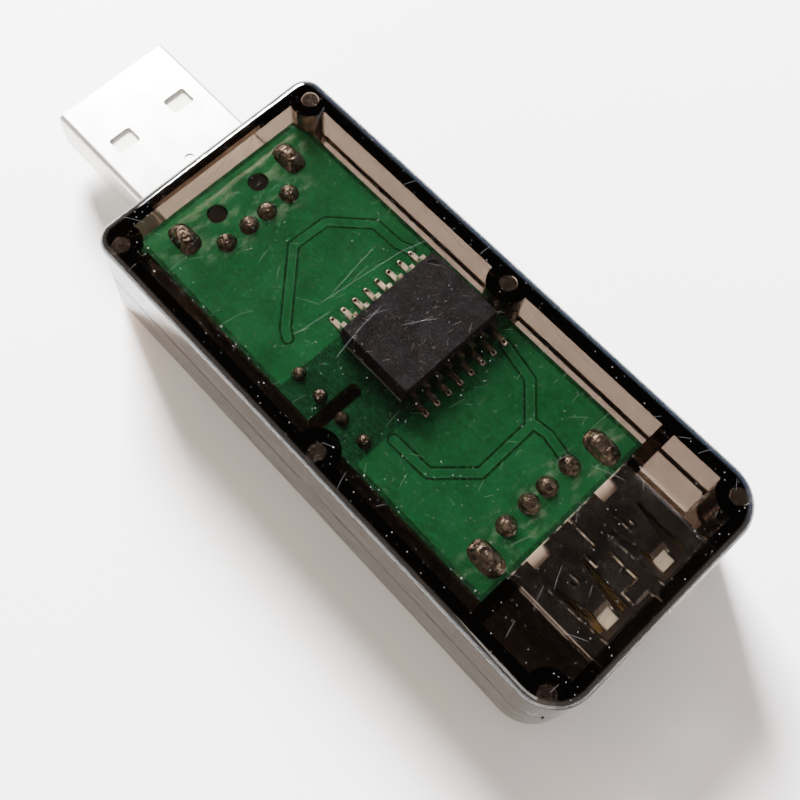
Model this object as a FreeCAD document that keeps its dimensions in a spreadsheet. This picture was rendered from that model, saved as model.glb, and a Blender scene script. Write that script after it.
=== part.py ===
import FreeCAD, Part
import os
import re

import Sketcher
from FreeCAD import Vector

# USB isolator: a dongle with a plug at one end and a socket at the other, in a smoked clear case.
# The case is two moulded halves held by six pins, with one circuit board between them.
# Millimetres. The case lies along X, the plug points to -X, and Z is up from the table.
# The part's origin is the middle of its base, under the middle of case and plug together.

SIZES = {
    # Case: its inside follows from the board and the connectors
    "wall": 1.55,
    "floor_wall": 0.9,
    "roof": 1.0,
    "seam_height": 5.9,
    "plug_corner": 1.8,
    "socket_corner": 3.6,
    "edge_round": 0.9,
    "base_bevel": 0.6,
    "seam_step": 0.12,
    "lip_wide": 0.6,
    "lip_tall": 0.8,
    "lip_gap": 0.1,
    "post_inset_end": 2.1,
    "post_inset_side": 1.5,
    "boss_radius": 1.85,
    "pin_radius": 0.7,
    "pin_gap": 0.05,
    "pin_short": 0.4,
    "pillar_wide": 2.0,
    "pillar_inset": 0.8,
    "saddle_long": 1.6,
    "rib_thick": 1.15,
    "rib_gap": 0.3,
    # Circuit board and the room around it
    "board_length": 40.5,
    "board_width": 17.9,
    "board_thick": 1.2,
    "board_clear": 6.1,
    "cover_room": 2.6,
    "side_room": 1.4,
    "board_gap": 0.05,
    "circuit_mid": 0.2,
    "slot_from_plug": 22.0,
    "slot_wide": 1.25,
    "slot_deep": 4.9,
    "hole_radius": 0.5,
    "hole_margin": 0.2,
    # Plug
    "plug_reach": 13.8,
    "plug_length": 18.8,
    "plug_wide": 12.0,
    "plug_tall": 4.5,
    "sheet": 0.3,
    "plug_round": 0.5,
    "window_from_tip": 5.0,
    "window_long": 1.8,
    "window_wide": 2.3,
    "window_pitch": 6.2,
    "window_round": 0.3,
    "stamp_from_tip": 11.2,
    "stamp_radius": 0.45,
    "stamp_deep": 0.1,
    "plug_tab_long": 1.8,
    "plug_tab_back": 0.9,
    "tab_rise": 0.4,
    "plate_thick": 1.95,
    "plate_setback": 0.6,
    "plug_block": 4.0,
    "plug_tail": 1.6,
    "peg_radius": 0.8,
    "peg_pitch": 4.6,
    "peg_short": 0.15,
    # Contacts, alike in plug and socket
    "contact_wide": 1.0,
    "contact_thick": 0.2,
    "contact_inner": 2.0,
    "contact_outer": 7.0,
    "contact_setback": 0.7,
    "contact_proud": 0.05,
    "leg_thick": 0.3,
    "leg_wide": 0.6,
    "leg_rise": 0.45,
    # Socket, sunk into the board's end
    "socket_long": 9.1,
    "socket_wide": 13.1,
    "socket_tall": 5.7,
    "socket_rise": 1.3,
    "socket_gap": 0.05,
    "socket_recess": 0.55,
    "socket_round": 0.6,
    "opening_gap": 0.05,
    "notch_deep": 1.0,
    "notch_wide": 1.8,
    "notch_pitch": 7.45,
    "spring_pitch": 6.2,
    "spring_root_wide": 2.9,
    "spring_tip_wide": 1.5,
    "spring_opening": 3.5,
    "spring_taper": 0.3,
    "spring_from_mouth": 6.4,
    "spring_bend_back": 3.15,
    "spring_ramp": 0.8,
    "spring_drop": 0.6,
    "spring_tip_back": 1.5,
    "mouth_rim": 1.0,
    "hook_back": 6.7,
    "hook_long": 1.5,
    "hook_wide": 0.65,
    "seam_slit": 0.12,
    "key_start": 2.65,
    "key_step": 1.15,
    "key_long": 3.75,
    "key_near": 0.45,
    "key_far": 1.1,
    "socket_tab_long": 2.4,
    "socket_tab_back": 2.1,
    "arm_tall": 1.6,
    "socket_block": 1.8,
    "socket_tail": 2.65,
    "tongue_thick": 1.85,
    "tongue_wide": 11.1,
    "tongue_drop": 0.7,
    "tongue_setback": 1.0,
    # Isolator chip, a wide sixteen lead package
    "chip_from_plug": 21.8,
    "chip_edge_gap": 1.1,
    "chip_long": 7.5,
    "chip_wide": 10.3,
    "chip_tall": 2.35,
    "chip_stand": 0.1,
    "chip_band": 0.3,
    "chip_draft": 7.0,
    "dimple_radius": 0.6,
    "dimple_inset": 1.1,
    "dimple_deep": 0.12,
    "lead_pitch": 1.27,
    "lead_wide": 0.41,
    "lead_thick": 0.25,
    "lead_shoulder": 0.55,
    "lead_foot": 0.85,
    # Converter, a four pin block lying under the board
    "converter_long": 11.6,
    "converter_deep": 10.0,
    "converter_thick": 6.0,
    "converter_round": 0.4,
    "converter_pitch": 2.54,
    "converter_pin_wide": 0.5,
    "converter_pin_thick": 0.25,
    "converter_pin_drop": 1.3,
    "converter_pin_out": 0.65,
    "converter_offset": 6.9,
    # Solder
    "solder_radius": 0.9,
    "small_solder_radius": 0.62,
    "solder_tall": 0.65,
    "solder_top_share": 0.5,
    "tab_solder_long": 3.3,
    "tab_solder_wide": 2.1,
    "tab_solder_tall": 0.8,
    "tab_solder_bevel": 0.4,
    # Small parts under the board
    "chip_part_long": 1.6,
    "chip_part_wide": 0.8,
    "chip_part_tall": 0.5,
    "chip_part_bevel": 0.06,
    "resistor_from_plug": 12.0,
    "capacitor_from_socket": 2.0,
    "part_pitch": 2.4,
}

# Places that follow from the sizes, measured from the middle of the case
CASE_LONG = "(wall + board_gap + board_length + socket_gap + socket_long + socket_recess)"
CASE_WIDE = "(board_width + 2 * side_room + 2 * wall)"
BOARD_LOW = "(floor_wall + board_clear)"
BOARD_TOP = f"({BOARD_LOW} + board_thick)"
ROOF_LOW = f"({BOARD_TOP} + cover_room)"
CASE_TALL = f"({ROOF_LOW} + roof)"
BOARD_START = f"(wall + board_gap - {CASE_LONG} / 2)"
BOARD_END = f"({BOARD_START} + board_length)"
POST_X = f"({CASE_LONG} / 2 - post_inset_end)"
POST_Y = f"({CASE_WIDE} / 2 - post_inset_side)"
PIN_TOP = f"({ROOF_LOW} - pin_short)"
PLUG_TIP = f"(-{CASE_LONG} / 2 - plug_reach)"
PLUG_BACK = f"({PLUG_TIP} + plug_length)"
PLUG_LOW = f"({BOARD_LOW} - plug_tall)"
PLUG_TAIL = f"({PLUG_BACK} + plug_tail)"
PLATE_LOW = f"({BOARD_LOW} - sheet - plate_thick)"
SOCKET_BACK = f"({BOARD_END} + socket_gap)"
SOCKET_MOUTH = f"({CASE_LONG} / 2 - socket_recess)"
SOCKET_TOP = f"({BOARD_TOP} + socket_rise)"
SOCKET_LOW = f"({SOCKET_TOP} - socket_tall)"
SOCKET_TAIL = f"({SOCKET_BACK} - socket_tail)"
TONGUE_LOW = f"({SOCKET_LOW} + sheet + tongue_drop)"
TONGUE_TOP = f"({TONGUE_LOW} + tongue_thick)"
CHIP_X = f"({BOARD_START} + chip_from_plug)"
CHIP_Y = "(board_width / 2 - chip_edge_gap - chip_wide / 2)"
CHIP_MID = f"({BOARD_TOP} + chip_stand + chip_tall / 2)"
CONVERTER_ROW = "(-converter_offset)"
CONVERTER_FACE = "(converter_pin_out - converter_offset)"
LEG_TOP = f"({BOARD_TOP} + leg_rise)"

CONTACT_ROWS = ["-contact_outer / 2", "-contact_inner / 2", "contact_inner / 2", "contact_outer / 2"]

doc = FreeCAD.newDocument("usb_isolator")
sheet = doc.addObject("Spreadsheet::Sheet", "Sizes")
for row, (alias, value) in enumerate(SIZES.items(), start=1):
    sheet.set(f"A{row}", alias)
    sheet.set(f"B{row}", str(value))
    sheet.setAlias(f"B{row}", alias)
doc.recompute()

parts = []


# Expressions: each named size in a formula is read from the sheet
def bound(formula):
    return re.sub(r"[a-z_]+", lambda word: "Sizes." + word.group(0), formula)


def bind(thing, place, formula):
    thing.setExpression(place, bound(formula))


def stand(thing, label, on_circuit=False):
    """Set a finished sub-part down in the part's frame and list it under its own label."""
    thing.Label = label
    bind(thing, "Placement.Base.x", "plug_reach / 2")
    if on_circuit:
        bind(thing, "Placement.Base.y", "circuit_mid")
    parts.append(thing)
    return thing


# Plain solids and booleans
def box(name, x_low, x_high, y_low, y_high, z_low, z_high):
    solid = doc.addObject("Part::Box", name)
    for side, low, high in (("Length", x_low, x_high), ("Width", y_low, y_high), ("Height", z_low, z_high)):
        bind(solid, side, f"({high}) - ({low})")
    for axis, low in (("x", x_low), ("y", y_low), ("z", z_low)):
        bind(solid, f"Placement.Base.{axis}", low)
    return solid


def post(name, x, y, z_low, z_high, radius):
    solid = doc.addObject("Part::Cylinder", name)
    bind(solid, "Radius", radius)
    bind(solid, "Height", f"({z_high}) - ({z_low})")
    for axis, place in (("x", x), ("y", y), ("z", z_low)):
        bind(solid, f"Placement.Base.{axis}", place)
    return solid


def fuse(name, solids):
    whole = doc.addObject("Part::MultiFuse", name)
    whole.Shapes = solids
    whole.Refine = True
    return whole


def cut(name, base, tool):
    whole = doc.addObject("Part::Cut", name)
    whole.Base = base
    whole.Tool = tool
    whole.Refine = True
    return whole


# Sketches, each on one of its own body's planes
def sketch_on(body, plane, at):
    sketch = body.newObject("Sketcher::SketchObject", "Sketch")
    support = [item for item in body.Origin.OriginFeatures if item.Role == plane]
    sketch.AttachmentSupport = (support[0], "")
    sketch.MapMode = "FlatFace"
    bind(sketch, "AttachmentOffset.Base.z", at)
    return sketch


def tie(sketch, kind, geometry, point, formula):
    """Fix one point of the sketch at a distance from its origin, given by a formula."""
    index = sketch.addConstraint(Sketcher.Constraint(kind, -1, 1, geometry, point, 1.0))
    bind(sketch, f"Constraints[{index}]", formula)


def outline(sketch, corners):
    """Draw a closed outline whose corners are pairs of formulas."""
    first = sketch.GeometryCount
    count = len(corners)
    for step in range(count):
        start = Vector(1 + step, (step * step) % 7, 0)
        end = Vector(2 + step, ((step + 1) * (step + 1)) % 7, 0)
        sketch.addGeometry(Part.LineSegment(start, end), False)
    for step in range(count):
        following = first + (step + 1) % count
        sketch.addConstraint(Sketcher.Constraint("Coincident", first + step, 2, following, 1))
    for step, (across, up) in enumerate(corners):
        tie(sketch, "DistanceX", first + step, 1, across)
        tie(sketch, "DistanceY", first + step, 1, up)


def rectangle(sketch, left, right, low, high):
    outline(sketch, [(left, low), (right, low), (right, high), (left, high)])


def ring(sketch, across, up, radius):
    index = sketch.addGeometry(Part.Circle(Vector(1, 1, 0), Vector(0, 0, 1), 1), False)
    limit = sketch.addConstraint(Sketcher.Constraint("Radius", index, 1.0))
    bind(sketch, f"Constraints[{limit}]", radius)
    tie(sketch, "DistanceX", index, 3, across)
    tie(sketch, "DistanceY", index, 3, up)


# Features of a body
def new_body(name):
    return doc.addObject("PartDesign::Body", name)


def pad(body, sketch, length, backward=False, draft=None):
    feature = body.newObject("PartDesign::Pad", "Pad")
    feature.Profile = sketch
    bind(feature, "Length", length)
    feature.Reversed = backward
    if draft:
        bind(feature, "TaperAngle", draft)
    doc.recompute()
    return feature


def pocket(body, sketch, depth, backward=False):
    before = body.Shape.Volume
    feature = body.newObject("PartDesign::Pocket", "Pocket")
    feature.Profile = sketch
    bind(feature, "Length", depth)
    feature.Reversed = backward
    doc.recompute()
    if body.Shape.Volume >= before:
        raise ValueError(f"a pocket in {body.Name} cuts nothing")
    return feature


def edges_of(body, wanted):
    return [f"Edge{index}" for index, edge in enumerate(body.Shape.Edges, start=1) if wanted(edge)]


def round_edges(body, wanted, radius):
    base, edges = body.Tip, edges_of(body, wanted)
    feature = body.newObject("PartDesign::Fillet", "Fillet")
    feature.Base = (base, edges)
    bind(feature, "Radius", radius)
    doc.recompute()
    return feature


def bevel_edges(body, wanted, size):
    base, edges = body.Tip, edges_of(body, wanted)
    feature = body.newObject("PartDesign::Chamfer", "Chamfer")
    feature.Base = (base, edges)
    bind(feature, "Size", size)
    doc.recompute()
    return feature


def runs_along(edge, axis):
    span = edge.BoundBox
    lengths = {"x": span.XLength, "y": span.YLength, "z": span.ZLength}
    own = lengths.pop(axis)
    return own > 1e-4 and max(lengths.values()) < 1e-4


def lies_flat_at(edge, height):
    return abs(edge.BoundBox.ZMin - height) < 1e-4 and abs(edge.BoundBox.ZMax - height) < 1e-4


# Case
def case_block(name, z_low, z_high):
    """One half of the case as a solid block with its corners rounded in plan."""
    block = new_body(name)
    plan = sketch_on(block, "XY_Plane", z_low)
    half_long, half_wide = f"{CASE_LONG} / 2", f"{CASE_WIDE} / 2"
    rectangle(plan, f"-{half_long}", half_long, f"-{half_wide}", half_wide)
    pad(block, plan, f"({z_high}) - ({z_low})")
    round_edges(block, lambda edge: runs_along(edge, "z") and edge.BoundBox.XMin > 0, "socket_corner")
    round_edges(block, lambda edge: runs_along(edge, "z") and edge.BoundBox.XMax < 0, "plug_corner")
    return block


def post_places():
    return [(x, y) for x in (f"-{POST_X}", "0", POST_X) for y in (f"-{POST_Y}", POST_Y)]


def posts(name, z_low, z_high, radius):
    return [post(name, x, y, z_low, z_high, radius) for x, y in post_places()]


def inner_box(name, z_low, z_high, inset):
    half_long, half_wide = f"{CASE_LONG} / 2 - ({inset})", f"{CASE_WIDE} / 2 - ({inset})"
    return box(name, f"-({half_long})", half_long, f"-({half_wide})", half_wide, z_low, z_high)


def end_openings(name):
    """The cut-outs in the end walls that the plug and the socket stand in."""
    plug_half, socket_half = "plug_wide / 2 + opening_gap", "socket_wide / 2 + opening_gap"
    plug_hole = box(
        name, f"-{CASE_LONG}", f"wall * 2 - {CASE_LONG} / 2",
        f"circuit_mid - ({plug_half})", f"circuit_mid + {plug_half}",
        f"{PLUG_LOW} - opening_gap", f"{BOARD_LOW} + opening_gap",
    )
    socket_hole = box(
        name, f"{CASE_LONG} / 2 - wall * 2", CASE_LONG,
        f"circuit_mid - ({socket_half})", f"circuit_mid + {socket_half}",
        f"{SOCKET_LOW} - opening_gap", f"{SOCKET_TOP} + opening_gap",
    )
    return [plug_hole, socket_hole]


def top_cover():
    block = case_block("CoverBlock", "seam_height", CASE_TALL)
    top, base = block.Shape.BoundBox.ZMax, block.Shape.BoundBox.ZMin
    round_edges(block, lambda edge: lies_flat_at(edge, top), "edge_round")
    bevel_edges(block, lambda edge: lies_flat_at(edge, base), "seam_step")
    room = inner_box("CoverRoom", "seam_height", ROOF_LOW, "wall")
    recess_top = "seam_height + lip_tall + lip_gap"
    recess = inner_box("CoverRecess", "seam_height", recess_top, "wall - lip_wide - lip_gap")
    bosses = posts("CoverBoss", "seam_height", ROOF_LOW, "boss_radius")
    kept = fuse("CoverKept", bosses + cover_ribs(recess_top))
    hollow = cut("CoverHollow", fuse("CoverSpace", [room, recess]), kept)
    holes = posts("CoverPinHole", "seam_height", f"{PIN_TOP} + pin_gap", "pin_radius + pin_gap")
    board_half = "(board_width / 2 + board_gap)"
    board_seat = box(
        "CoverBoardSeat", f"{BOARD_START} - board_gap", f"{BOARD_END} + board_gap",
        f"circuit_mid - {board_half}", f"circuit_mid + {board_half}",
        "seam_height", f"{BOARD_TOP} + board_gap",
    )
    tool = fuse("CoverCuts", [hollow, board_seat] + holes + end_openings("CoverOpening"))
    return stand(cut("TopCover", block, tool), "top_cover")


def cover_ribs(low_end):
    """Two ribs between the walls and the socket's flanks, which stop the board's end."""
    flank = "(socket_wide / 2 + rib_gap)"
    near, far = f"{BOARD_END} + board_gap", f"{BOARD_END} + board_gap + rib_thick"
    return [
        box("CoverRib", near, far, f"-{CASE_WIDE} / 2", f"circuit_mid - {flank}", low_end, ROOF_LOW),
        box("CoverRib", near, far, f"circuit_mid + {flank}", f"{CASE_WIDE} / 2", low_end, ROOF_LOW),
    ]


def bottom_shell():
    block = case_block("ShellBlock", "0", "seam_height")
    top, base = block.Shape.BoundBox.ZMax, block.Shape.BoundBox.ZMin
    bevel_edges(block, lambda edge: lies_flat_at(edge, base), "base_bevel")
    bevel_edges(block, lambda edge: lies_flat_at(edge, top), "seam_step")
    openings = end_openings("ShellOpening")
    bosses = fuse("ShellBosses", posts("ShellBoss", "floor_wall", "seam_height", "boss_radius"))
    hollow = cut("ShellHollow", inner_box("ShellRoom", "floor_wall", "seam_height", "wall"), bosses)
    shell = cut("ShellTub", block, fuse("ShellCuts", [hollow] + openings))
    lip_outer = inner_box("LipOuter", "seam_height - lip_tall", "seam_height + lip_tall", "wall - lip_wide")
    lip_inner = inner_box("LipInner", "seam_height - lip_tall * 2", "seam_height + lip_tall * 2", "wall")
    keep_clear = posts("LipPost", "seam_height", "seam_height + lip_tall * 2", "boss_radius + lip_gap")
    lip = cut("Lip", lip_outer, fuse("LipCuts", [lip_inner] + keep_clear + end_openings("LipOpening")))
    pins = posts("ShellPin", "seam_height - lip_tall", PIN_TOP, "pin_radius")
    whole = fuse("BottomShell", [shell, lip] + pins + board_rests())
    return stand(whole, "bottom_shell")


def board_rests():
    """Pillars under the board's corners and a saddle under each connector."""
    near_plug = f"({BOARD_START} + plug_tail + plug_block + pillar_wide)"
    near_socket = f"({SOCKET_BACK} - socket_tab_back - socket_tab_long / 2 - hole_margin - pillar_wide)"
    outer = "(board_width / 2 - pillar_inset)"
    inner = f"({outer} - pillar_wide)"
    pillars = [
        box(
            "Pillar", x, f"{x} + pillar_wide", f"circuit_mid + {low}", f"circuit_mid + {high}",
            "floor_wall / 2", BOARD_LOW,
        )
        for x in (near_plug, near_socket)
        for low, high in ((f"-{outer}", f"-{inner}"), (inner, outer))
    ]
    plug_saddle = box(
        "PlugSaddle", f"{PLUG_BACK} - saddle_long * 2", f"{PLUG_BACK} - saddle_long",
        "circuit_mid - plug_wide / 3", "circuit_mid + plug_wide / 3", "floor_wall / 2", PLUG_LOW,
    )
    socket_saddle = box(
        "SocketSaddle", f"{SOCKET_BACK} + saddle_long", f"{SOCKET_BACK} + saddle_long * 2",
        "circuit_mid - socket_wide / 3", "circuit_mid + socket_wide / 3", "floor_wall / 2", SOCKET_LOW,
    )
    return pillars + [plug_saddle, socket_saddle]


# Circuit board
def circuit_board():
    board = new_body("CircuitBoard")
    plan = sketch_on(board, "XY_Plane", BOARD_LOW)
    rectangle(plan, BOARD_START, BOARD_END, "-board_width / 2", "board_width / 2")
    pad(board, plan, "board_thick")
    slot = sketch_on(board, "XY_Plane", BOARD_TOP)
    slot_mid = f"{BOARD_START} + slot_from_plug"
    rectangle(
        slot, f"{slot_mid} - slot_wide / 2", f"{slot_mid} + slot_wide / 2",
        "-board_width / 2 - slot_wide", "slot_deep - board_width / 2",
    )
    pocket(board, slot, "board_thick * 2")
    inner_end = board.Shape.BoundBox.YMin + SIZES["slot_deep"]
    round_edges(
        board,
        lambda edge: runs_along(edge, "z") and abs(edge.BoundBox.YMin - inner_end) < 1e-3,
        "slot_wide / 2 - opening_gap",
    )
    holes = sketch_on(board, "XY_Plane", BOARD_TOP)
    for across in CONTACT_ROWS:
        ring(holes, f"{PLUG_TAIL} + leg_thick / 2", across, "hole_radius")
        ring(holes, f"{SOCKET_TAIL} - leg_thick / 2", across, "hole_radius")
    for step in (-1.5, -0.5, 0.5, 1.5):
        ring(holes, f"{CHIP_X} + ({step}) * converter_pitch", CONVERTER_ROW, "hole_radius")
    for side in ("-", ""):
        ring(holes, f"{PLUG_BACK} - plug_tab_back", f"{side}peg_pitch / 2", "peg_radius + hole_margin / 2")
    pocket(board, holes, "board_thick * 2")
    tab_holes = sketch_on(board, "XY_Plane", BOARD_TOP)
    for tab_low, tab_high, wide in (plug_tab_span(), socket_tab_span()):
        inner = f"{wide} / 2 - sheet - hole_margin"
        outer = f"{wide} / 2 + hole_margin"
        for low, high in ((f"-({outer})", f"-({inner})"), (inner, outer)):
            rectangle(tab_holes, f"{tab_low} - hole_margin", f"{tab_high} + hole_margin", low, high)
    pocket(board, tab_holes, "board_thick * 2")
    return stand(board, "circuit_board", on_circuit=True)


def plug_tab_span():
    middle = f"({PLUG_BACK} - plug_tab_back)"
    return f"{middle} - plug_tab_long / 2", f"{middle} + plug_tab_long / 2", "plug_wide"


def socket_tab_span():
    middle = f"({SOCKET_BACK} - socket_tab_back)"
    return f"{middle} - socket_tab_long / 2", f"{middle} + socket_tab_long / 2", "socket_wide"


# Folded sheet
def sheet_tube(name, x_low, x_high, wide, z_low, z_high, corner):
    """A rectangular tube of folded sheet, open at both ends."""
    tube = new_body(name)
    section = sketch_on(tube, "YZ_Plane", x_low)
    rectangle(section, f"-{wide} / 2", f"{wide} / 2", z_low, z_high)
    pad(tube, section, f"({x_high}) - ({x_low})")
    round_edges(tube, lambda edge: runs_along(edge, "x"), corner)
    outside = tube.Shape.BoundBox
    bore = sketch_on(tube, "YZ_Plane", x_high)
    rectangle(bore, f"sheet - {wide} / 2", f"{wide} / 2 - sheet", f"{z_low} + sheet", f"{z_high} - sheet")
    pocket(tube, bore, f"({x_high}) - ({x_low}) + sheet")
    reach = outside.YMax - SIZES["sheet"]

    def inner_corner(edge):
        at_side = abs(abs(edge.BoundBox.Center.y) - reach) < 1e-3
        return runs_along(edge, "x") and at_side and outside.ZMin < edge.BoundBox.Center.z < outside.ZMax

    round_edges(tube, inner_corner, f"{corner} - sheet")
    return tube


def flank_tabs(body, corners, wide):
    """A tab cut to a side view outline, standing in line with each flank of a tube."""
    for start in (f"{wide} / 2", f"sheet - {wide} / 2"):
        side = sketch_on(body, "XZ_Plane", f"-({start})")
        outline(side, corners)
        pad(body, side, "sheet")


def side_strip(body, corners, middle, wide):
    """A strip of even width across Y, cut to a side view outline."""
    side = sketch_on(body, "XZ_Plane", f"-({middle} + {wide} / 2)")
    outline(side, corners)
    pad(body, side, wide)


# Plug
def plug_shell():
    shell = sheet_tube("PlugShell", PLUG_TIP, PLUG_BACK, "plug_wide", PLUG_LOW, BOARD_LOW, "plug_round")
    windows = sketch_on(shell, "XY_Plane", BOARD_LOW)
    front, back = f"{PLUG_TIP} + window_from_tip", f"{PLUG_TIP} + window_from_tip + window_long"
    for side in ("-", ""):
        middle = f"{side}window_pitch / 2"
        rectangle(windows, front, back, f"{middle} - window_wide / 2", f"{middle} + window_wide / 2")
    pocket(shell, windows, f"{BOARD_LOW} - {PLUG_LOW}")
    window_front = shell.Shape.BoundBox.XMin + SIZES["window_from_tip"]
    window_back = window_front + SIZES["window_long"]

    def window_corner(edge):
        return runs_along(edge, "z") and window_front - 1e-3 < edge.BoundBox.XMin < window_back + 1e-3

    round_edges(shell, window_corner, "window_round")
    stamp = sketch_on(shell, "XY_Plane", BOARD_LOW)
    ring(stamp, f"{PLUG_TIP} + stamp_from_tip", "0", "stamp_radius")
    pocket(shell, stamp, "stamp_deep")
    notch = sketch_on(shell, "XY_Plane", BOARD_LOW)
    notch_half = "(peg_pitch / 2 + peg_radius + hole_margin / 2)"
    notch_start = f"{PLUG_BACK} - plug_tab_back - peg_radius - hole_margin / 2"
    rectangle(notch, notch_start, f"{PLUG_BACK} + sheet", f"-{notch_half}", notch_half)
    pocket(shell, notch, "sheet * 2")
    tab_low, tab_high, wide = plug_tab_span()
    foot, tab_top = f"{BOARD_LOW} - plug_round * 2", f"{BOARD_TOP} + tab_rise"
    flank_tabs(shell, [(tab_low, foot), (tab_high, foot), (tab_high, tab_top), (tab_low, tab_top)], wide)
    return stand(shell, "plug_shell", on_circuit=True)


def plug_insulator():
    carrier = new_body("PlugInsulator")
    half_wide, plate_top = "(plug_wide / 2 - sheet)", f"({BOARD_LOW} - sheet)"
    block_front, block_low = f"({PLUG_BACK} - plug_block)", f"({PLUG_LOW} + sheet)"
    tip = f"({PLUG_TIP} + plate_setback)"
    side = sketch_on(carrier, "XZ_Plane", f"-{half_wide}")
    outline(side, [
        (tip, PLATE_LOW), (block_front, PLATE_LOW), (block_front, block_low),
        (PLUG_BACK, block_low), (PLUG_BACK, plate_top), (tip, plate_top),
    ])
    pad(carrier, side, f"{half_wide} * 2")
    round_edges(carrier, lambda edge: runs_along(edge, "x"), "plug_round - sheet")
    pegs = sketch_on(carrier, "XY_Plane", plate_top)
    for side_sign in ("-", ""):
        ring(pegs, f"{PLUG_BACK} - plug_tab_back", f"{side_sign}peg_pitch / 2", "peg_radius")
    pad(carrier, pegs, f"{BOARD_TOP} - peg_short - {plate_top}")
    channels = sketch_on(carrier, "YZ_Plane", PLUG_BACK)
    for middle in CONTACT_ROWS:
        rectangle(
            channels, f"{middle} - contact_wide / 2", f"{middle} + contact_wide / 2",
            f"{PLATE_LOW} - contact_proud", f"{PLATE_LOW} - contact_proud + contact_thick",
        )
    pocket(carrier, channels, f"{PLUG_BACK} - {tip} - contact_setback")
    return stand(carrier, "plug_insulator", on_circuit=True)


def plug_contact(number, middle):
    """A flat contact along the plate, with a narrower leg that turns up through the board."""
    contact = new_body("PlugContact")
    front, low = f"{PLUG_TIP} + plate_setback + contact_setback", f"{PLATE_LOW} - contact_proud"
    high, leg_end = f"{low} + contact_thick", f"{PLUG_TAIL} + leg_thick"
    strip = [(front, low), (leg_end, low), (leg_end, high), (front, high)]
    side_strip(contact, strip, middle, "contact_wide")
    leg = [(PLUG_TAIL, low), (leg_end, low), (leg_end, LEG_TOP), (PLUG_TAIL, LEG_TOP)]
    side_strip(contact, leg, middle, "leg_wide")
    return stand(contact, f"plug_contact_{number}", on_circuit=True)


# Socket
def socket_shell():
    shell = sheet_tube(
        "SocketShell", SOCKET_BACK, SOCKET_MOUTH, "socket_wide", SOCKET_LOW, SOCKET_TOP, "socket_round",
    )
    for feature in (socket_notches, socket_springs, socket_hooks, socket_seam):
        feature(shell)
    tab_low, tab_high, wide = socket_tab_span()
    arm_low, arm_high = f"{BOARD_LOW} - arm_tall", f"{BOARD_LOW} - board_gap"
    arm_end, tab_top = f"{SOCKET_BACK} + sheet", f"{BOARD_TOP} + tab_rise"
    flank_tabs(shell, [
        (tab_low, arm_low), (arm_end, arm_low), (arm_end, arm_high),
        (tab_high, arm_high), (tab_high, tab_top), (tab_low, tab_top),
    ], wide)
    return stand(shell, "socket_shell", on_circuit=True)


def socket_notches(shell):
    """Two notches in the rear edge of the top, where the insulator shows."""
    notches = sketch_on(shell, "XY_Plane", SOCKET_TOP)
    for side in ("-", ""):
        middle = f"{side}notch_pitch / 2"
        rectangle(
            notches, f"{SOCKET_BACK} - sheet", f"{SOCKET_BACK} + notch_deep",
            f"{middle} - notch_wide / 2", f"{middle} + notch_wide / 2",
        )
    pocket(shell, notches, "sheet * 2")


def socket_springs(shell):
    """Two spring tongues cut free in the top, each bent down at its end to press on the plug."""
    root, opening_end = f"({SOCKET_MOUTH} - spring_from_mouth)", f"({SOCKET_MOUTH} - mouth_rim)"
    bend, tip = f"({SOCKET_MOUTH} - spring_bend_back)", f"({SOCKET_MOUTH} - spring_tip_back)"
    openings = sketch_on(shell, "XY_Plane", SOCKET_TOP)
    for side in ("-", ""):
        middle = f"({side}spring_pitch / 2)"
        wide_half, front_half = "spring_opening / 2", "(spring_opening / 2 - spring_taper)"
        root_half, tip_half = "spring_root_wide / 2", "spring_tip_wide / 2"
        outline(openings, [
            (root, f"{middle} - {wide_half}"), (opening_end, f"{middle} - {front_half}"),
            (opening_end, f"{middle} + {front_half}"), (root, f"{middle} + {wide_half}"),
            (root, f"{middle} + {root_half}"), (bend, f"{middle} + {tip_half}"),
            (bend, f"{middle} - {tip_half}"), (root, f"{middle} - {root_half}"),
        ])
    pocket(shell, openings, "sheet * 2")
    low, ramp_end = f"{SOCKET_TOP} - spring_drop", f"{bend} + spring_ramp"
    bent_tip = [
        (f"{bend} - sheet / 2", SOCKET_TOP), (bend, SOCKET_TOP), (ramp_end, low), (tip, low),
        (tip, f"{low} - sheet"), (f"{ramp_end} - sheet / 2", f"{low} - sheet"),
        (f"{bend} - sheet / 2", f"{SOCKET_TOP} - sheet"),
    ]
    for side in ("-", ""):
        side_strip(shell, bent_tip, f"({side}spring_pitch / 2)", "spring_tip_wide")


def socket_hooks(shell):
    """A hook shaped slit near the root of each spring."""
    slits = sketch_on(shell, "XY_Plane", SOCKET_TOP)
    start, end = f"({SOCKET_MOUTH} - hook_back)", f"({SOCKET_MOUTH} - hook_back + hook_long)"
    for side in ("-", ""):
        near, far = f"{side}(spring_pitch / 2 - hook_wide / 2)", f"{side}(spring_pitch / 2 + hook_wide / 2)"
        near_edge = f"{side}(spring_pitch / 2 - hook_wide / 2 + seam_slit)"
        far_edge = f"{side}(spring_pitch / 2 + hook_wide / 2 - seam_slit)"
        inner_end, hook_end = f"{end} - seam_slit", f"{end} - hook_wide"
        outline(slits, [
            (start, near), (end, near), (end, far), (hook_end, far),
            (hook_end, far_edge), (inner_end, far_edge), (inner_end, near_edge), (start, near_edge),
        ])
    pocket(shell, slits, "sheet * 2")


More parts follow.
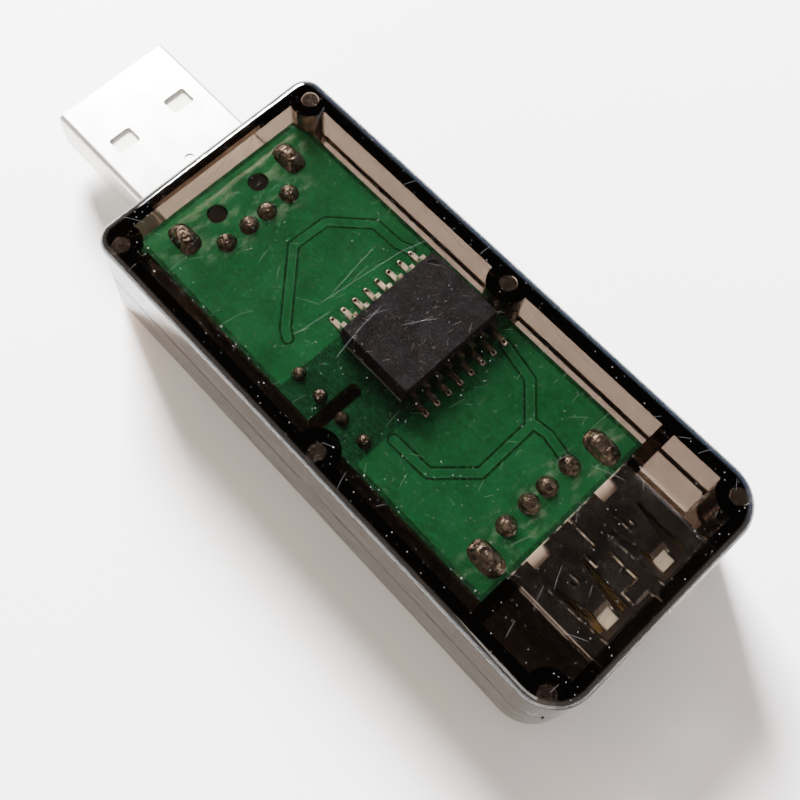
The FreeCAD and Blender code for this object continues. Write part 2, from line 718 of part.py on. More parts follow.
def socket_seam(shell):
    """The folded sheet's seam along the top, which turns to and fro so that its two edges lock."""
    slit = sketch_on(shell, "XY_Plane", SOCKET_TOP)
    start, end = f"({SOCKET_BACK} - sheet)", f"({SOCKET_MOUTH} + sheet)"
    first = f"({SOCKET_BACK} + key_start)"
    second, third = f"({first} + key_step)", f"({first} + key_long)"
    fourth = f"({third} + key_step)"
    gap, near, far = "seam_slit", "key_near", "(-key_far)"
    outline(slit, [
        (start, gap), (f"{first} + {gap}", gap), (f"{first} + {gap}", f"{far} + {gap}"),
        (second, f"{far} + {gap}"), (second, f"{near} + {gap}"), (f"{third} + {gap}", f"{near} + {gap}"),
        (f"{third} + {gap}", f"{far} + {gap}"), (fourth, f"{far} + {gap}"), (fourth, f"{near} + {gap}"),
        (end, f"{near} + {gap}"), (end, near), (f"{fourth} + {gap}", near), (f"{fourth} + {gap}", far),
        (third, far), (third, near), (f"{second} + {gap}", near), (f"{second} + {gap}", far),
        (first, far), (first, "0"), (start, "0"),
    ])
    pocket(shell, slit, "sheet * 2")


def socket_insulator():
    carrier = new_body("SocketInsulator")
    half_wide = "(socket_wide / 2 - sheet)"
    block_low, block_top = f"({SOCKET_LOW} + sheet)", f"({SOCKET_TOP} - sheet)"
    block_front, tongue_tip = f"({SOCKET_BACK} + socket_block)", f"({SOCKET_MOUTH} - tongue_setback)"
    block = sketch_on(carrier, "YZ_Plane", SOCKET_BACK)
    rectangle(block, f"-{half_wide}", half_wide, block_low, block_top)
    pad(carrier, block, "socket_block")
    round_edges(carrier, lambda edge: runs_along(edge, "x"), "socket_round - sheet")
    tongue = [
        (block_front, TONGUE_LOW), (tongue_tip, TONGUE_LOW),
        (tongue_tip, TONGUE_TOP), (block_front, TONGUE_TOP),
    ]
    side_strip(carrier, tongue, "0", "tongue_wide")
    tail_top = f"({BOARD_LOW} - board_gap)"
    tail = [
        (SOCKET_TAIL, block_low), (SOCKET_BACK, block_low),
        (SOCKET_BACK, tail_top), (SOCKET_TAIL, tail_top),
    ]
    side_strip(carrier, tail, "0", "tongue_wide")
    channels = sketch_on(carrier, "YZ_Plane", SOCKET_TAIL)
    for middle in CONTACT_ROWS:
        rectangle(
            channels, f"{middle} - contact_wide / 2", f"{middle} + contact_wide / 2",
            f"{TONGUE_TOP} + contact_proud - contact_thick", f"{TONGUE_TOP} + contact_proud",
        )
    pocket(carrier, channels, f"{tongue_tip} - contact_setback - {SOCKET_TAIL}", backward=True)
    return stand(carrier, "socket_insulator", on_circuit=True)


def socket_contact(number, middle):
    """A flat contact on top of the tongue, with a narrower leg that turns up through the board."""
    contact = new_body("SocketContact")
    front, high = f"{SOCKET_MOUTH} - tongue_setback - contact_setback", f"{TONGUE_TOP} + contact_proud"
    low, leg_end = f"{high} - contact_thick", f"{SOCKET_TAIL} - leg_thick"
    strip = [(leg_end, low), (front, low), (front, high), (leg_end, high)]
    side_strip(contact, strip, middle, "contact_wide")
    leg = [(leg_end, low), (SOCKET_TAIL, low), (SOCKET_TAIL, LEG_TOP), (leg_end, LEG_TOP)]
    side_strip(contact, leg, middle, "leg_wide")
    return stand(contact, f"socket_contact_{number}", on_circuit=True)


# Isolator chip
def isolator_chip():
    chip = new_body("IsolatorChip")
    place = ("chip_long", "chip_wide")
    band_low, band_high = f"{CHIP_MID} - chip_band / 2", f"{CHIP_MID} + chip_band / 2"
    layers = [(band_low, "chip_band", False, None)]
    half_tall = "(chip_tall - chip_band) / 2"
    layers += [(band_high, half_tall, False, "-chip_draft"), (band_low, half_tall, True, "-chip_draft")]
    for height, tall, downward, draft in layers:
        plan = sketch_on(chip, "XY_Plane", height)
        long, wide = place
        rectangle(
            plan, f"{CHIP_X} - {long} / 2", f"{CHIP_X} + {long} / 2",
            f"{CHIP_Y} - {wide} / 2", f"{CHIP_Y} + {wide} / 2",
        )
        pad(chip, plan, tall, backward=downward, draft=draft)
    dimple = sketch_on(chip, "XY_Plane", f"{CHIP_MID} + chip_tall / 2")
    ring(
        dimple, f"{CHIP_X} - {place[0]} / 2 + dimple_inset",
        f"{CHIP_Y} + {place[1]} / 2 - dimple_inset", "dimple_radius",
    )
    pocket(chip, dimple, "dimple_deep")
    return stand(chip, "isolator_chip", on_circuit=True)


def chip_lead(number, side, step):
    """A gull wing lead: shoulder at the body's middle height, bend, and foot on the board."""
    lead = new_body("ChipLead")
    body_side, foot_low = "chip_long / 2", BOARD_TOP
    shoulder_top, shoulder_low = f"{CHIP_MID} + lead_thick / 2", f"{CHIP_MID} - lead_thick / 2"
    foot_top, knee = f"{foot_low} + lead_thick", f"{body_side} + lead_shoulder"
    heel = f"{knee} + lead_thick / 2"
    profile = [
        (body_side, shoulder_low), (f"{knee} - lead_thick", shoulder_low), (f"{heel} - lead_thick", foot_low),
        (f"{heel} + lead_foot", foot_low), (f"{heel} + lead_foot", foot_top), (heel, foot_top),
        (knee, shoulder_top), (body_side, shoulder_top),
    ]
    corners = [(f"{CHIP_X} {side} ({along})", up) for along, up in profile]
    side_strip(lead, corners, f"{CHIP_Y} + ({step}) * lead_pitch", "lead_wide")
    return stand(lead, f"chip_lead_{number}", on_circuit=True)


# Supply converter
def converter_body():
    converter = new_body("ConverterBody")
    plan = sketch_on(converter, "XY_Plane", f"{BOARD_LOW} - board_gap")
    rectangle(
        plan, f"{CHIP_X} - converter_long / 2", f"{CHIP_X} + converter_long / 2",
        CONVERTER_FACE, f"{CONVERTER_FACE} + converter_deep",
    )
    pad(converter, plan, "converter_thick", backward=True)
    round_edges(converter, lambda edge: runs_along(edge, "y"), "converter_round")
    return stand(converter, "converter_body", on_circuit=True)


def converter_pin(number, step):
    """A flat pin that leaves the converter's side and turns up through the board."""
    pin = new_body("ConverterPin")
    low = f"({BOARD_LOW} - converter_pin_drop)"
    near, far = f"{CONVERTER_ROW} + converter_pin_thick / 2", f"{CONVERTER_ROW} - converter_pin_thick / 2"
    side = sketch_on(pin, "YZ_Plane", f"{CHIP_X} + ({step}) * converter_pitch - converter_pin_wide / 2")
    outline(side, [
        (CONVERTER_FACE, low), (far, low), (far, LEG_TOP), (near, LEG_TOP),
        (near, f"{low} + converter_pin_thick"), (CONVERTER_FACE, f"{low} + converter_pin_thick"),
    ])
    pad(pin, side, "converter_pin_wide")
    return stand(pin, f"converter_pin_{number}", on_circuit=True)


# Solder joints
def solder_cone(x, y, radius, leg_x, leg_y):
    """A cone of solder on the board, around the end of one leg."""
    cone = doc.addObject("Part::Cone", "SolderCone")
    bind(cone, "Radius1", radius)
    bind(cone, "Radius2", f"{radius} * solder_top_share")
    bind(cone, "Height", "solder_tall")
    for axis, place in (("x", x), ("y", y), ("z", BOARD_TOP)):
        bind(cone, f"Placement.Base.{axis}", place)
    leg = box(
        "SolderedLeg", f"{x} - {leg_x} / 2", f"{x} + {leg_x} / 2",
        f"{y} - {leg_y} / 2", f"{y} + {leg_y} / 2", BOARD_LOW, LEG_TOP,
    )
    return cut("SolderJoint", cone, leg)


def solder_bead(span, side):
    """A bevelled bead of solder on the board, around the end of one shell tab."""
    tab_low, tab_high, wide = span
    bead = new_body("SolderBead")
    middle_x, middle_y = f"({tab_low} + {tab_high}) / 2", f"{side}({wide} / 2 - sheet / 2)"
    plan = sketch_on(bead, "XY_Plane", BOARD_TOP)
    rectangle(
        plan, f"{middle_x} - tab_solder_long / 2", f"{middle_x} + tab_solder_long / 2",
        f"{middle_y} - tab_solder_wide / 2", f"{middle_y} + tab_solder_wide / 2",
    )
    pad(bead, plan, "tab_solder_tall")
    base = bead.Shape.BoundBox.ZMin
    bevel_edges(bead, lambda edge: not lies_flat_at(edge, base), "tab_solder_bevel")
    tab = sketch_on(bead, "XY_Plane", BOARD_TOP)
    rectangle(tab, tab_low, tab_high, f"{middle_y} - sheet / 2", f"{middle_y} + sheet / 2")
    pocket(bead, tab, "tab_rise", backward=True)
    return bead


def solder_group(label, joints):
    group = doc.addObject("Part::Compound", "SolderGroup")
    group.Links = joints
    return stand(group, label, on_circuit=True)


# Small parts on the underside of the board
def small_part(label, x, y):
    part = new_body("SmallPart")
    plan = sketch_on(part, "XY_Plane", BOARD_LOW)
    rectangle(
        plan, f"{x} - chip_part_long / 2", f"{x} + chip_part_long / 2",
        f"{y} - chip_part_wide / 2", f"{y} + chip_part_wide / 2",
    )
    pad(part, plan, "chip_part_tall", backward=True)
    top = part.Shape.BoundBox.ZMax
    bevel_edges(part, lambda edge: not lies_flat_at(edge, top), "chip_part_bevel")
    return stand(part, label, on_circuit=True)


# Build every sub-part
top_cover()
bottom_shell()
circuit_board()
plug_shell()
plug_insulator()
socket_shell()
socket_insulator()
for number, middle in enumerate(CONTACT_ROWS, start=1):
    plug_contact(number, middle)
    socket_contact(number, middle)
isolator_chip()
for index in range(8):
    chip_lead(index + 1, "-", 3.5 - index)
    chip_lead(index + 9, "+", index - 3.5)
converter_body()
pin_steps = (-1.5, -0.5, 0.5, 1.5)
for number, step in enumerate(pin_steps, start=1):
    converter_pin(number, step)
solder_group("plug_pin_solder", [
    solder_cone(f"({PLUG_TAIL} + leg_thick / 2)", middle, "solder_radius", "leg_thick", "leg_wide")
    for middle in CONTACT_ROWS
])
solder_group("socket_pin_solder", [
    solder_cone(f"({SOCKET_TAIL} - leg_thick / 2)", middle, "solder_radius", "leg_thick", "leg_wide")
    for middle in CONTACT_ROWS
])
solder_group("converter_solder", [
    solder_cone(
        f"({CHIP_X} + ({step}) * converter_pitch)", CONVERTER_ROW, "small_solder_radius",
        "converter_pin_wide", "converter_pin_thick",
    )
    for step in pin_steps
])
solder_group("plug_tab_solder", [solder_bead(plug_tab_span(), side) for side in ("-", "")])
solder_group("socket_tab_solder", [solder_bead(socket_tab_span(), side) for side in ("-", "")])
for index in range(4):
    place = f"({BOARD_START} + resistor_from_plug)"
    small_part(f"resistor_{index + 1}", place, f"({index - 1.5}) * part_pitch")
for index in range(3):
    place = f"({SOCKET_TAIL} - leg_thick - capacitor_from_socket)"
    small_part(f"capacitor_{index + 1}", place, f"({index - 1}) * part_pitch")
doc.recompute()

# Check every object and every sub-part before anything is written
for item in doc.Objects:
    if "Invalid" in item.State or "Error" in item.State:
        raise ValueError(f"{item.Name} ({item.Label}) did not compute: {item.State}")
for part in parts:
    if part.Shape.isNull() or not part.Shape.isValid():
        raise ValueError(f"{part.Label} has no valid shape")

# Write one STEP file for each sub-part
os.makedirs("parts", exist_ok=True)
for part in parts:
    part.Shape.exportStep(f"parts/{part.Label}.step")
print(len(parts), "sub-parts")
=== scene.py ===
# A pocket isolator for a serial bus, in a smoked clear case, rebuilt from one photograph.
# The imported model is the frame. This script gives each of its pieces a surface, shapes the soldered joints
# more finely than the model does, and lights the whole as it lies on a pale table.

import math
import bpy
from mathutils import Matrix, Vector


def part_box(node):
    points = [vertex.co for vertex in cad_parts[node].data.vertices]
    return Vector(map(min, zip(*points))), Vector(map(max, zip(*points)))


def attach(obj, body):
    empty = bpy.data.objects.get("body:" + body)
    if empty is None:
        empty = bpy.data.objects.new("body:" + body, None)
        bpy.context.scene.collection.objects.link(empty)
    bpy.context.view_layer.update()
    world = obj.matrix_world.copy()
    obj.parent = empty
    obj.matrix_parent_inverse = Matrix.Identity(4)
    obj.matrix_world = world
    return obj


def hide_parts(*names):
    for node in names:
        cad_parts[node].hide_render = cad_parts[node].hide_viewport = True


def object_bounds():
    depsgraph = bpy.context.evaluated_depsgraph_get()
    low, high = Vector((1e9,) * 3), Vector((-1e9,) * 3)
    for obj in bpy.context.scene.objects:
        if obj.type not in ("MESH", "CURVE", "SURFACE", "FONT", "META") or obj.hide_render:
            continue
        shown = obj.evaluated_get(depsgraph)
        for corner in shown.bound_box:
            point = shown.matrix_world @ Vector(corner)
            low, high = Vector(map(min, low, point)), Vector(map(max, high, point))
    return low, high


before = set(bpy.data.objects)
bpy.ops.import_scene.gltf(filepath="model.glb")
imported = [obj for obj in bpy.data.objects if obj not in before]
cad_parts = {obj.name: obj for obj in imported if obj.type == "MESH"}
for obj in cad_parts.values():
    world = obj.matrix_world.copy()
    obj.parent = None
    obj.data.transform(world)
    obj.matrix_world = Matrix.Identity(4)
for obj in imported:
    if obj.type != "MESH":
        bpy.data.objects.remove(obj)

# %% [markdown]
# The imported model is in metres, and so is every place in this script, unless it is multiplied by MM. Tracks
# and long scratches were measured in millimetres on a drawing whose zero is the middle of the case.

packed_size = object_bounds()
MM = 0.001
# In the frame the plug moves the case's middle along X by this many millimetres.
CASE_MIDDLE = 6.9
print("packed size in millimetres:", [round(1000 * (high - low), 2) for low, high in zip(*packed_size)])

# %% [markdown]
# The photographer stood over one long side of the case and looked down at it from about 10 cm, turned so
# that the plug points to the upper left. The picture is a part of a larger one, so its middle isn't the
# middle of the lens: the two shifts say so. They were found by matching the case's corners, the board's
# outline and the chip's leads to their places in the picture.

# %% Camera
camera_data = bpy.data.cameras.new("photo_view")
camera_data.lens = 53.75
camera_data.sensor_width = 36.0
camera_data.shift_x = 0.0873
camera_data.shift_y = -0.1307
camera_data.clip_start = 0.005
camera_data.clip_end = 20.0
camera = bpy.data.objects.new("photo_view", camera_data)
bpy.context.scene.collection.objects.link(camera)
STAND = (27.409, -27.885, 97.949)
RIGHT, UP, BACK = (0.67589, 0.73701, 0.0), (-0.66994, 0.61438, 0.41680), (0.30719, -0.28171, 0.90900)
turn = Matrix((RIGHT, UP, BACK)).transposed().to_4x4()
camera.matrix_world = Matrix.Translation(Vector(STAND) * MM) @ turn
bpy.context.scene.camera = camera
print("camera at", [round(value / MM, 1) for value in camera.location])

# %% [markdown]
# The object lies on a nearly white table by a window. The shadow in the picture falls towards the socket's
# end and the photographer, so a large soft light stands low behind the far side of the plug's end. A weak
# one on the near side lifts the case's wall, and the light of the room fills in the rest.

# %% Lights


def area_light(name, place, target, size, watts, colour):
    """A square soft light at place that points at target. Places and size are in metres."""
    data = bpy.data.lights.new(name, "AREA")
    data.shape = "SQUARE"
    data.size = size
    data.energy = watts
    data.color = colour
    light = bpy.data.objects.new(name, data)
    light.location = place
    light.rotation_euler = (Vector(target) - Vector(place)).to_track_quat("-Z", "Y").to_euler()
    bpy.context.scene.collection.objects.link(light)
    return light


area_light("window", (-0.50, 0.25, 0.36), (0.0, 0.0, 0.0), 0.22, 54.0, (0.97, 0.98, 1.0))
area_light("near_fill", (0.15, -0.55, 0.32), (0.0, 0.0, 0.0), 0.30, 2.0, (1.0, 0.93, 0.86))
print("lights:", [light.name for light in bpy.data.lights])

# %% [markdown]
# One flat square, wide enough that its edge stays far behind the part. It touches the part's lowest point.

# %% Table
table_mesh = bpy.data.meshes.new("table")
HALF_TABLE = 1.5
table_low = packed_size[0][2]
table_mesh.from_pydata(
    [(x * HALF_TABLE, y * HALF_TABLE, table_low) for x, y in ((-1, -1), (1, -1), (1, 1), (-1, 1))],
    [], [(0, 1, 2, 3)])
table = bpy.data.objects.new("table", table_mesh)
bpy.context.scene.collection.objects.link(table)
print("table at", round(table_low / MM, 3), "mm")

# %% [markdown]
# Each surface is made from the same few steps, so they get short names. The first adds a node and fills its
# inputs with values or links, and the next ones build arithmetic on numbers and on vectors from it.

# %% Shader tools: nodes and links
ORIGIN = (0.0, 0.0, 0.0)
BLACK, WHITE = (0.0, 0.0, 0.0, 1.0), (1.0, 1.0, 1.0, 1.0)


def put(tree, kind, settings=(), **inputs):
    """Adds a shader node. inputs are values, or outputs of other nodes to link. Spaces are written as _."""
    node = tree.nodes.new("ShaderNode" + kind)
    for name, value in dict(settings).items():
        setattr(node, name, value)
    for name, value in inputs.items():
        fill(tree, node.inputs[name.replace("_", " ")], value)
    return node


def fill(tree, socket, value):
    """Links value to the socket if it is a node's output, else sets it."""
    if isinstance(value, bpy.types.NodeSocket):
        tree.links.new(value, socket)
    else:
        socket.default_value = value


def calc(tree, operation, *values, clamp=False):
    """One step of arithmetic on numbers. Returns its output."""
    node = put(tree, "Math", {"operation": operation, "use_clamp": clamp})
    for socket, value in zip(node.inputs, values):
        fill(tree, socket, value)
    return node.outputs[0]


def vector(tree, operation, *values):
    """One step of arithmetic on vectors. Returns the output that the operation fills."""
    node = put(tree, "VectorMath", {"operation": operation})
    sockets = [node.inputs[0], node.inputs[3] if operation == "SCALE" else node.inputs[1]]
    for socket, value in zip(sockets, values):
        fill(tree, socket, value)
    return node.outputs[1 if operation in ("LENGTH", "DISTANCE", "DOT_PRODUCT") else 0]


print("ready: put, fill, calc, vector")

# %% [markdown]
# A colour is mostly a mix of two by a mask, and a mask is mostly a noise or a distance, mapped to 0..1.

# %% Shader tools: colours and patterns


def mix(tree, share, first, second):
    """A mix of two colours. Returns its colour."""
    node = put(tree, "Mix", {"data_type": "RGBA"})
    for index, value in ((0, share), (6, first), (7, second)):
        fill(tree, node.inputs[index], value)
    return node.outputs[2]


def span(tree, value, low, high, to_low=0.0, to_high=1.0):
    """Maps value from low..high to to_low..to_high, held at both ends. Returns its output."""
    node = put(tree, "MapRange", Value=value, From_Min=low, From_Max=high, To_Min=to_low, To_Max=to_high)
    return node.outputs[0]


def noise(tree, place, scale, detail=3.0, roughness=0.55):
    """A noise of 0 to 1 with about scale patches to the metre. Returns its output."""
    node = put(tree, "TexNoise", Vector=place, Scale=scale, Detail=detail, Roughness=roughness)
    return node.outputs[0]


print("ready: mix, span, noise")

# %% [markdown]
# What more than one surface shows, such as scratches and dust, is a group with named inputs and outputs. It
# is built once, and each surface places it with values of its own.

# %% Shader tools: groups
SOCKET_KINDS = {"number": "NodeSocketFloat", "vector": "NodeSocketVector"}


def new_group(name, inputs, outputs):
    """A node group with named inputs and outputs. Returns the tree, its inputs and its outputs."""
    tree = bpy.data.node_groups.new(name, "ShaderNodeTree")
    for label, kind, value in inputs:
        socket = tree.interface.new_socket(label, in_out="INPUT", socket_type=SOCKET_KINDS[kind])
        socket.default_value = value
    for label, kind in outputs:
        tree.interface.new_socket(label, in_out="OUTPUT", socket_type=SOCKET_KINDS[kind])
    start = tree.nodes.new("NodeGroupInput")
    end = tree.nodes.new("NodeGroupOutput")
    return tree, start.outputs, end.inputs


def use(tree, group, **inputs):
    """Adds a node group to a tree and fills its inputs. Returns its outputs."""
    node = put(tree, "Group", {"node_tree": group})
    for name, value in inputs.items():
        fill(tree, node.inputs[name.replace("_", " ")], value)
    return node.outputs


print("ready: new_group, use")

# %% [markdown]
# A room is bright around and has a dimmer ceiling. That matters here: the flat roof of the case mirrors the
# ceiling towards the photographer, and a bright one would lay a pale veil over the board. The far side of
# the room is bluish with daylight, as the far rim of the case shows, and the rest of it is warm.

# %% Room light
room = bpy.data.worlds.new("room")
bpy.context.scene.world = room
room.use_nodes = True
tree = room.node_tree
_, sideways, upward = put(tree, "SeparateXYZ", Vector=put(tree, "TexCoord").outputs["Generated"]).outputs
brightness = span(tree, upward, 0.55, 0.80, 1.0, 0.05)
walls = mix(tree, span(tree, sideways, 0.45, 0.85), (1.0, 0.86, 0.75, 1.0), (0.95, 1.20, 1.70, 1.0))
fill(tree, tree.nodes["Background"].inputs["Color"], mix(tree, brightness, BLACK, walls))
tree.nodes["Background"].inputs["Strength"].default_value = 1.35
print("room light nodes:", len(tree.nodes))

# %% [markdown]
# A pocket tool picks up short, nearly straight scratches, most of them across its length. Space is split
# into random cells, and each cell may hold one thin cut, turned by an angle of its own.

# %% Shared effect: fine scratches
SCRATCHES, given, result = new_group(
    "fine_scratches",
    [("Position", "vector", ORIGIN), ("Cell", "number", 0.003), ("Width", "number", 0.012),
     ("Share", "number", 0.4), ("Seed", "number", 0.0)],
    [("Mask", "number")])
scaled = vector(SCRATCHES, "SCALE", given["Position"], calc(SCRATCHES, "DIVIDE", 1.0, given["Cell"]))
moved = vector(SCRATCHES, "ADD", scaled, put(
    SCRATCHES, "CombineXYZ", X=given["Seed"], Y=given["Seed"]).outputs[0])
cells = put(SCRATCHES, "TexVoronoi", {"voronoi_dimensions": "3D", "feature": "F1"}, Vector=moved, Scale=1.0)
from_middle = vector(SCRATCHES, "SUBTRACT", moved, cells.outputs["Position"])
chance = put(SCRATCHES, "SeparateColor", Color=cells.outputs["Color"]).outputs
angle = calc(SCRATCHES, "MULTIPLY_ADD", chance[0], 1.9, -0.65)
turned = put(SCRATCHES, "VectorRotate", {"rotation_type": "Z_AXIS"}, Vector=from_middle, Angle=angle)
along = put(SCRATCHES, "SeparateXYZ", Vector=turned.outputs[0]).outputs
bow = calc(SCRATCHES, "MULTIPLY", calc(SCRATCHES, "POWER", along[1], 2.0), 0.12)
aside = calc(SCRATCHES, "ABSOLUTE", calc(SCRATCHES, "SUBTRACT", along[0], bow))
line = span(SCRATCHES, aside, calc(SCRATCHES, "MULTIPLY", given["Width"], 0.5), given["Width"], 1.0, 0.0)
reach = calc(SCRATCHES, "MULTIPLY_ADD", chance[1], 0.42, 0.08)
ends = span(SCRATCHES, calc(SCRATCHES, "SUBTRACT", reach, calc(SCRATCHES, "ABSOLUTE", along[1])), 0.0, 0.06)
there = calc(SCRATCHES, "LESS_THAN", chance[2], given["Share"])
both = calc(SCRATCHES, "MULTIPLY", line, calc(SCRATCHES, "MULTIPLY", ends, there))
fill(SCRATCHES, result["Mask"], both)
print("scratches:", len(SCRATCHES.nodes), "nodes")

# %% [markdown]
# Dust shows as small pale specks of different sizes with nothing between them. Each cell of a random pattern
# may hold one ball, and a surface shows a speck where it cuts a ball, so most cells stay clean.

# %% Shared effect: dust
DUST, given, result = new_group(
    "dust_specks",
    [("Position", "vector", ORIGIN), ("Cell", "number", 0.0005), ("Size", "number", 0.12),
     ("Share", "number", 0.8)],
    [("Mask", "number")])
scaled = vector(DUST, "SCALE", given["Position"], calc(DUST, "DIVIDE", 1.0, given["Cell"]))
cells = put(DUST, "TexVoronoi", {"voronoi_dimensions": "3D", "feature": "F1"}, Vector=scaled, Scale=1.0)
chance = put(DUST, "SeparateColor", Color=cells.outputs["Color"]).outputs
speck = calc(DUST, "MULTIPLY", given["Size"], calc(DUST, "ADD", chance[0], 0.3))
disc = calc(DUST, "LESS_THAN", cells.outputs["Distance"], speck)
there = calc(DUST, "LESS_THAN", chance[2], given["Share"])
fill(DUST, result["Mask"], calc(DUST, "MULTIPLY", disc, there))
print("dust:", len(DUST.nodes), "nodes")

# %% [markdown]
# Copper tracks, cut edges and long scratches run in straight stretches. The distance from a point to one
# stretch, seen from above, is enough to draw a line and what lies beside it. A line with bends takes the
# least distance of all its stretches.

# %% Shared effect: distance to a drawn line
STRETCH, given, result = new_group(
    "distance_to_stretch",
    [("Position", "vector", ORIGIN), ("Start", "vector", ORIGIN), ("End", "vector", ORIGIN)],
    [("Distance", "number")])
flat = vector(STRETCH, "MULTIPLY", given["Position"], (1.0, 1.0, 0.0))
way = vector(STRETCH, "SUBTRACT", given["End"], given["Start"])
to_point = vector(STRETCH, "SUBTRACT", flat, given["Start"])
share = calc(
    STRETCH, "DIVIDE", vector(STRETCH, "DOT_PRODUCT", to_point, way),
    vector(STRETCH, "DOT_PRODUCT", way, way), clamp=True)
nearest = vector(STRETCH, "SCALE", way, share)
fill(STRETCH, result["Distance"], vector(STRETCH, "DISTANCE", to_point, nearest))


def stretches_of(points):
    """The straight stretches between points that follow each other."""
    return list(zip(points, points[1:]))


def least_distance(tree, place, stretches):
    """The least distance from the place to any of the stretches, which are pairs of places in metres."""
    nearest = None
    for start, end in stretches:
        distance = use(tree, STRETCH, Position=place, Start=start, End=end)["Distance"]
        nearest = distance if nearest is None else calc(tree, "MINIMUM", nearest, distance)
    return nearest


print("distance to a stretch:", len(STRETCH.nodes), "nodes")

# %% [markdown]
# The bare pads on the board and the painted highlights at the springs' tips are rectangles seen from above.

# %% Shared effect: a soft-edged rectangle
RECTANGLE, given, result = new_group(
    "rectangle_mask",
    [("Position", "vector", ORIGIN), ("Middle", "vector", ORIGIN), ("Half", "vector", (0.001, 0.001, 0.0)),
     ("Soft", "number", 0.00004)],
    [("Mask", "number")])
offset = vector(RECTANGLE, "ABSOLUTE", vector(RECTANGLE, "SUBTRACT", given["Position"], given["Middle"]))
inside = put(RECTANGLE, "SeparateXYZ", Vector=vector(RECTANGLE, "SUBTRACT", given["Half"], offset)).outputs
least = calc(RECTANGLE, "MINIMUM", inside[0], inside[1])
fill(RECTANGLE, result["Mask"], span(RECTANGLE, least, 0.0, given["Soft"]))
print("rectangle:", len(RECTANGLE.nodes), "nodes")

# %% [markdown]
# Sheet metal keeps faint lines from rolling along its length and cloudy patches from handling. The lines
# are a noise pulled out along X.

# %% Shared effect: drawn metal
DRAWN, given, result = new_group(
    "drawn_metal",
    [("Position", "vector", ORIGIN), ("Lines", "number", 9000.0), ("Clouds", "number", 400.0)],
    [("Lines", "number"), ("Clouds", "number")])
pulled = vector(DRAWN, "MULTIPLY", given["Position"], (0.03, 1.0, 1.0))
lines = put(DRAWN, "TexNoise", Vector=pulled, Scale=given["Lines"], Detail=2.0)
clouds = put(DRAWN, "TexNoise", Vector=given["Position"], Scale=given["Clouds"], Detail=4.0)
fill(DRAWN, result["Lines"], lines.outputs[0])
fill(DRAWN, result["Clouds"], clouds.outputs[0])
print("shared effects:", sorted(group.name for group in bpy.data.node_groups))

# %% [markdown]
# Every surface starts from one layered shader. Its constants are set on it directly, and what varies over
# the surface is linked in afterwards. All patterns use the place on the object in metres, so they keep
# their size and don't slide.

# %% Surfaces: a start for each


def new_surface(name, **constants):
    """A material with one layered shader. Returns the material, its tree, the shader and the place."""
    material = bpy.data.materials.new(name)
    material.use_nodes = True
    tree = material.node_tree
    shader = tree.nodes["Principled BSDF"]
    for label, value in constants.items():
        shader.inputs[label.replace("_", " ")].default_value = value
    place = put(tree, "TexCoord").outputs["Object"]
    return material, tree, shader, place


def relief(tree, shader, height, depth, strength=1.0):
    """Gives a surface a relief from a height of 0 to 1 that stands for depth in metres."""
    node = put(tree, "Bump", Height=height, Distance=depth, Strength=strength)
    tree.links.new(node.outputs[0], shader.inputs["Normal"])


def spot(x, y):
    """A place on the drawing of the case in millimetres, as a place in the frame."""
    return ((x + CASE_MIDDLE) * MM, y * MM, 0.0)


surfaces = {}
print("case middle in the frame:", spot(0.0, 0.0))

# %% [markdown]
# A coated white board with hardly any grain. It only has to catch the soft shadow.

# %% The table's surface
material, tree, shader, place = new_surface("table_top", Roughness=0.6, Specular_IOR_Level=0.25)
tone = span(tree, noise(tree, place, 14.0, 4.0), 0.3, 0.7)
fill(tree, shader.inputs["Base Color"], mix(tree, tone, (0.84, 0.82, 0.80, 1.0), (0.88, 0.86, 0.84, 1.0)))
relief(tree, shader, noise(tree, place, 2500.0), 0.00002, 0.3)
table_mesh.materials.append(material)
print("table surface:", material.name)

# %% [markdown]
# Both halves of the case are moulded in grey clear plastic. The plastic itself takes up light on its way
# through: one millimetre of roof leaves a bit under half of it, and the walls, seen along their height,
# look nearly black. So the colour comes from the volume and the outer skin is plain gloss with handling
# marks. Light for the inside would be lost at such a skin, so for shadows alone the skin lets light pass.
# Marks lie only on the outside faces of a case half. The cut ends of its pins are frosted.

# %% Smoked clear plastic
SMOKE, PER_METRE = (0.61, 0.555, 0.505, 1.0), 2000.0
SKIN_DEPTH = 0.00015
RUBBED_RIM, RUBBED_REACH = -0.0093, 0.0016
PIN_ENDS = 0.0102
SCRATCH_CELL = 0.0075
LONG_SCRATCHES = [
    ((-8.62, -2.05), (-7.64, 5.57)), ((-7.64, 5.57), (-6.18, 10.39)), ((-8.67, -0.82), (-9.39, 4.46)),
    ((-8.02, -5.46), (-7.55, -2.17))]


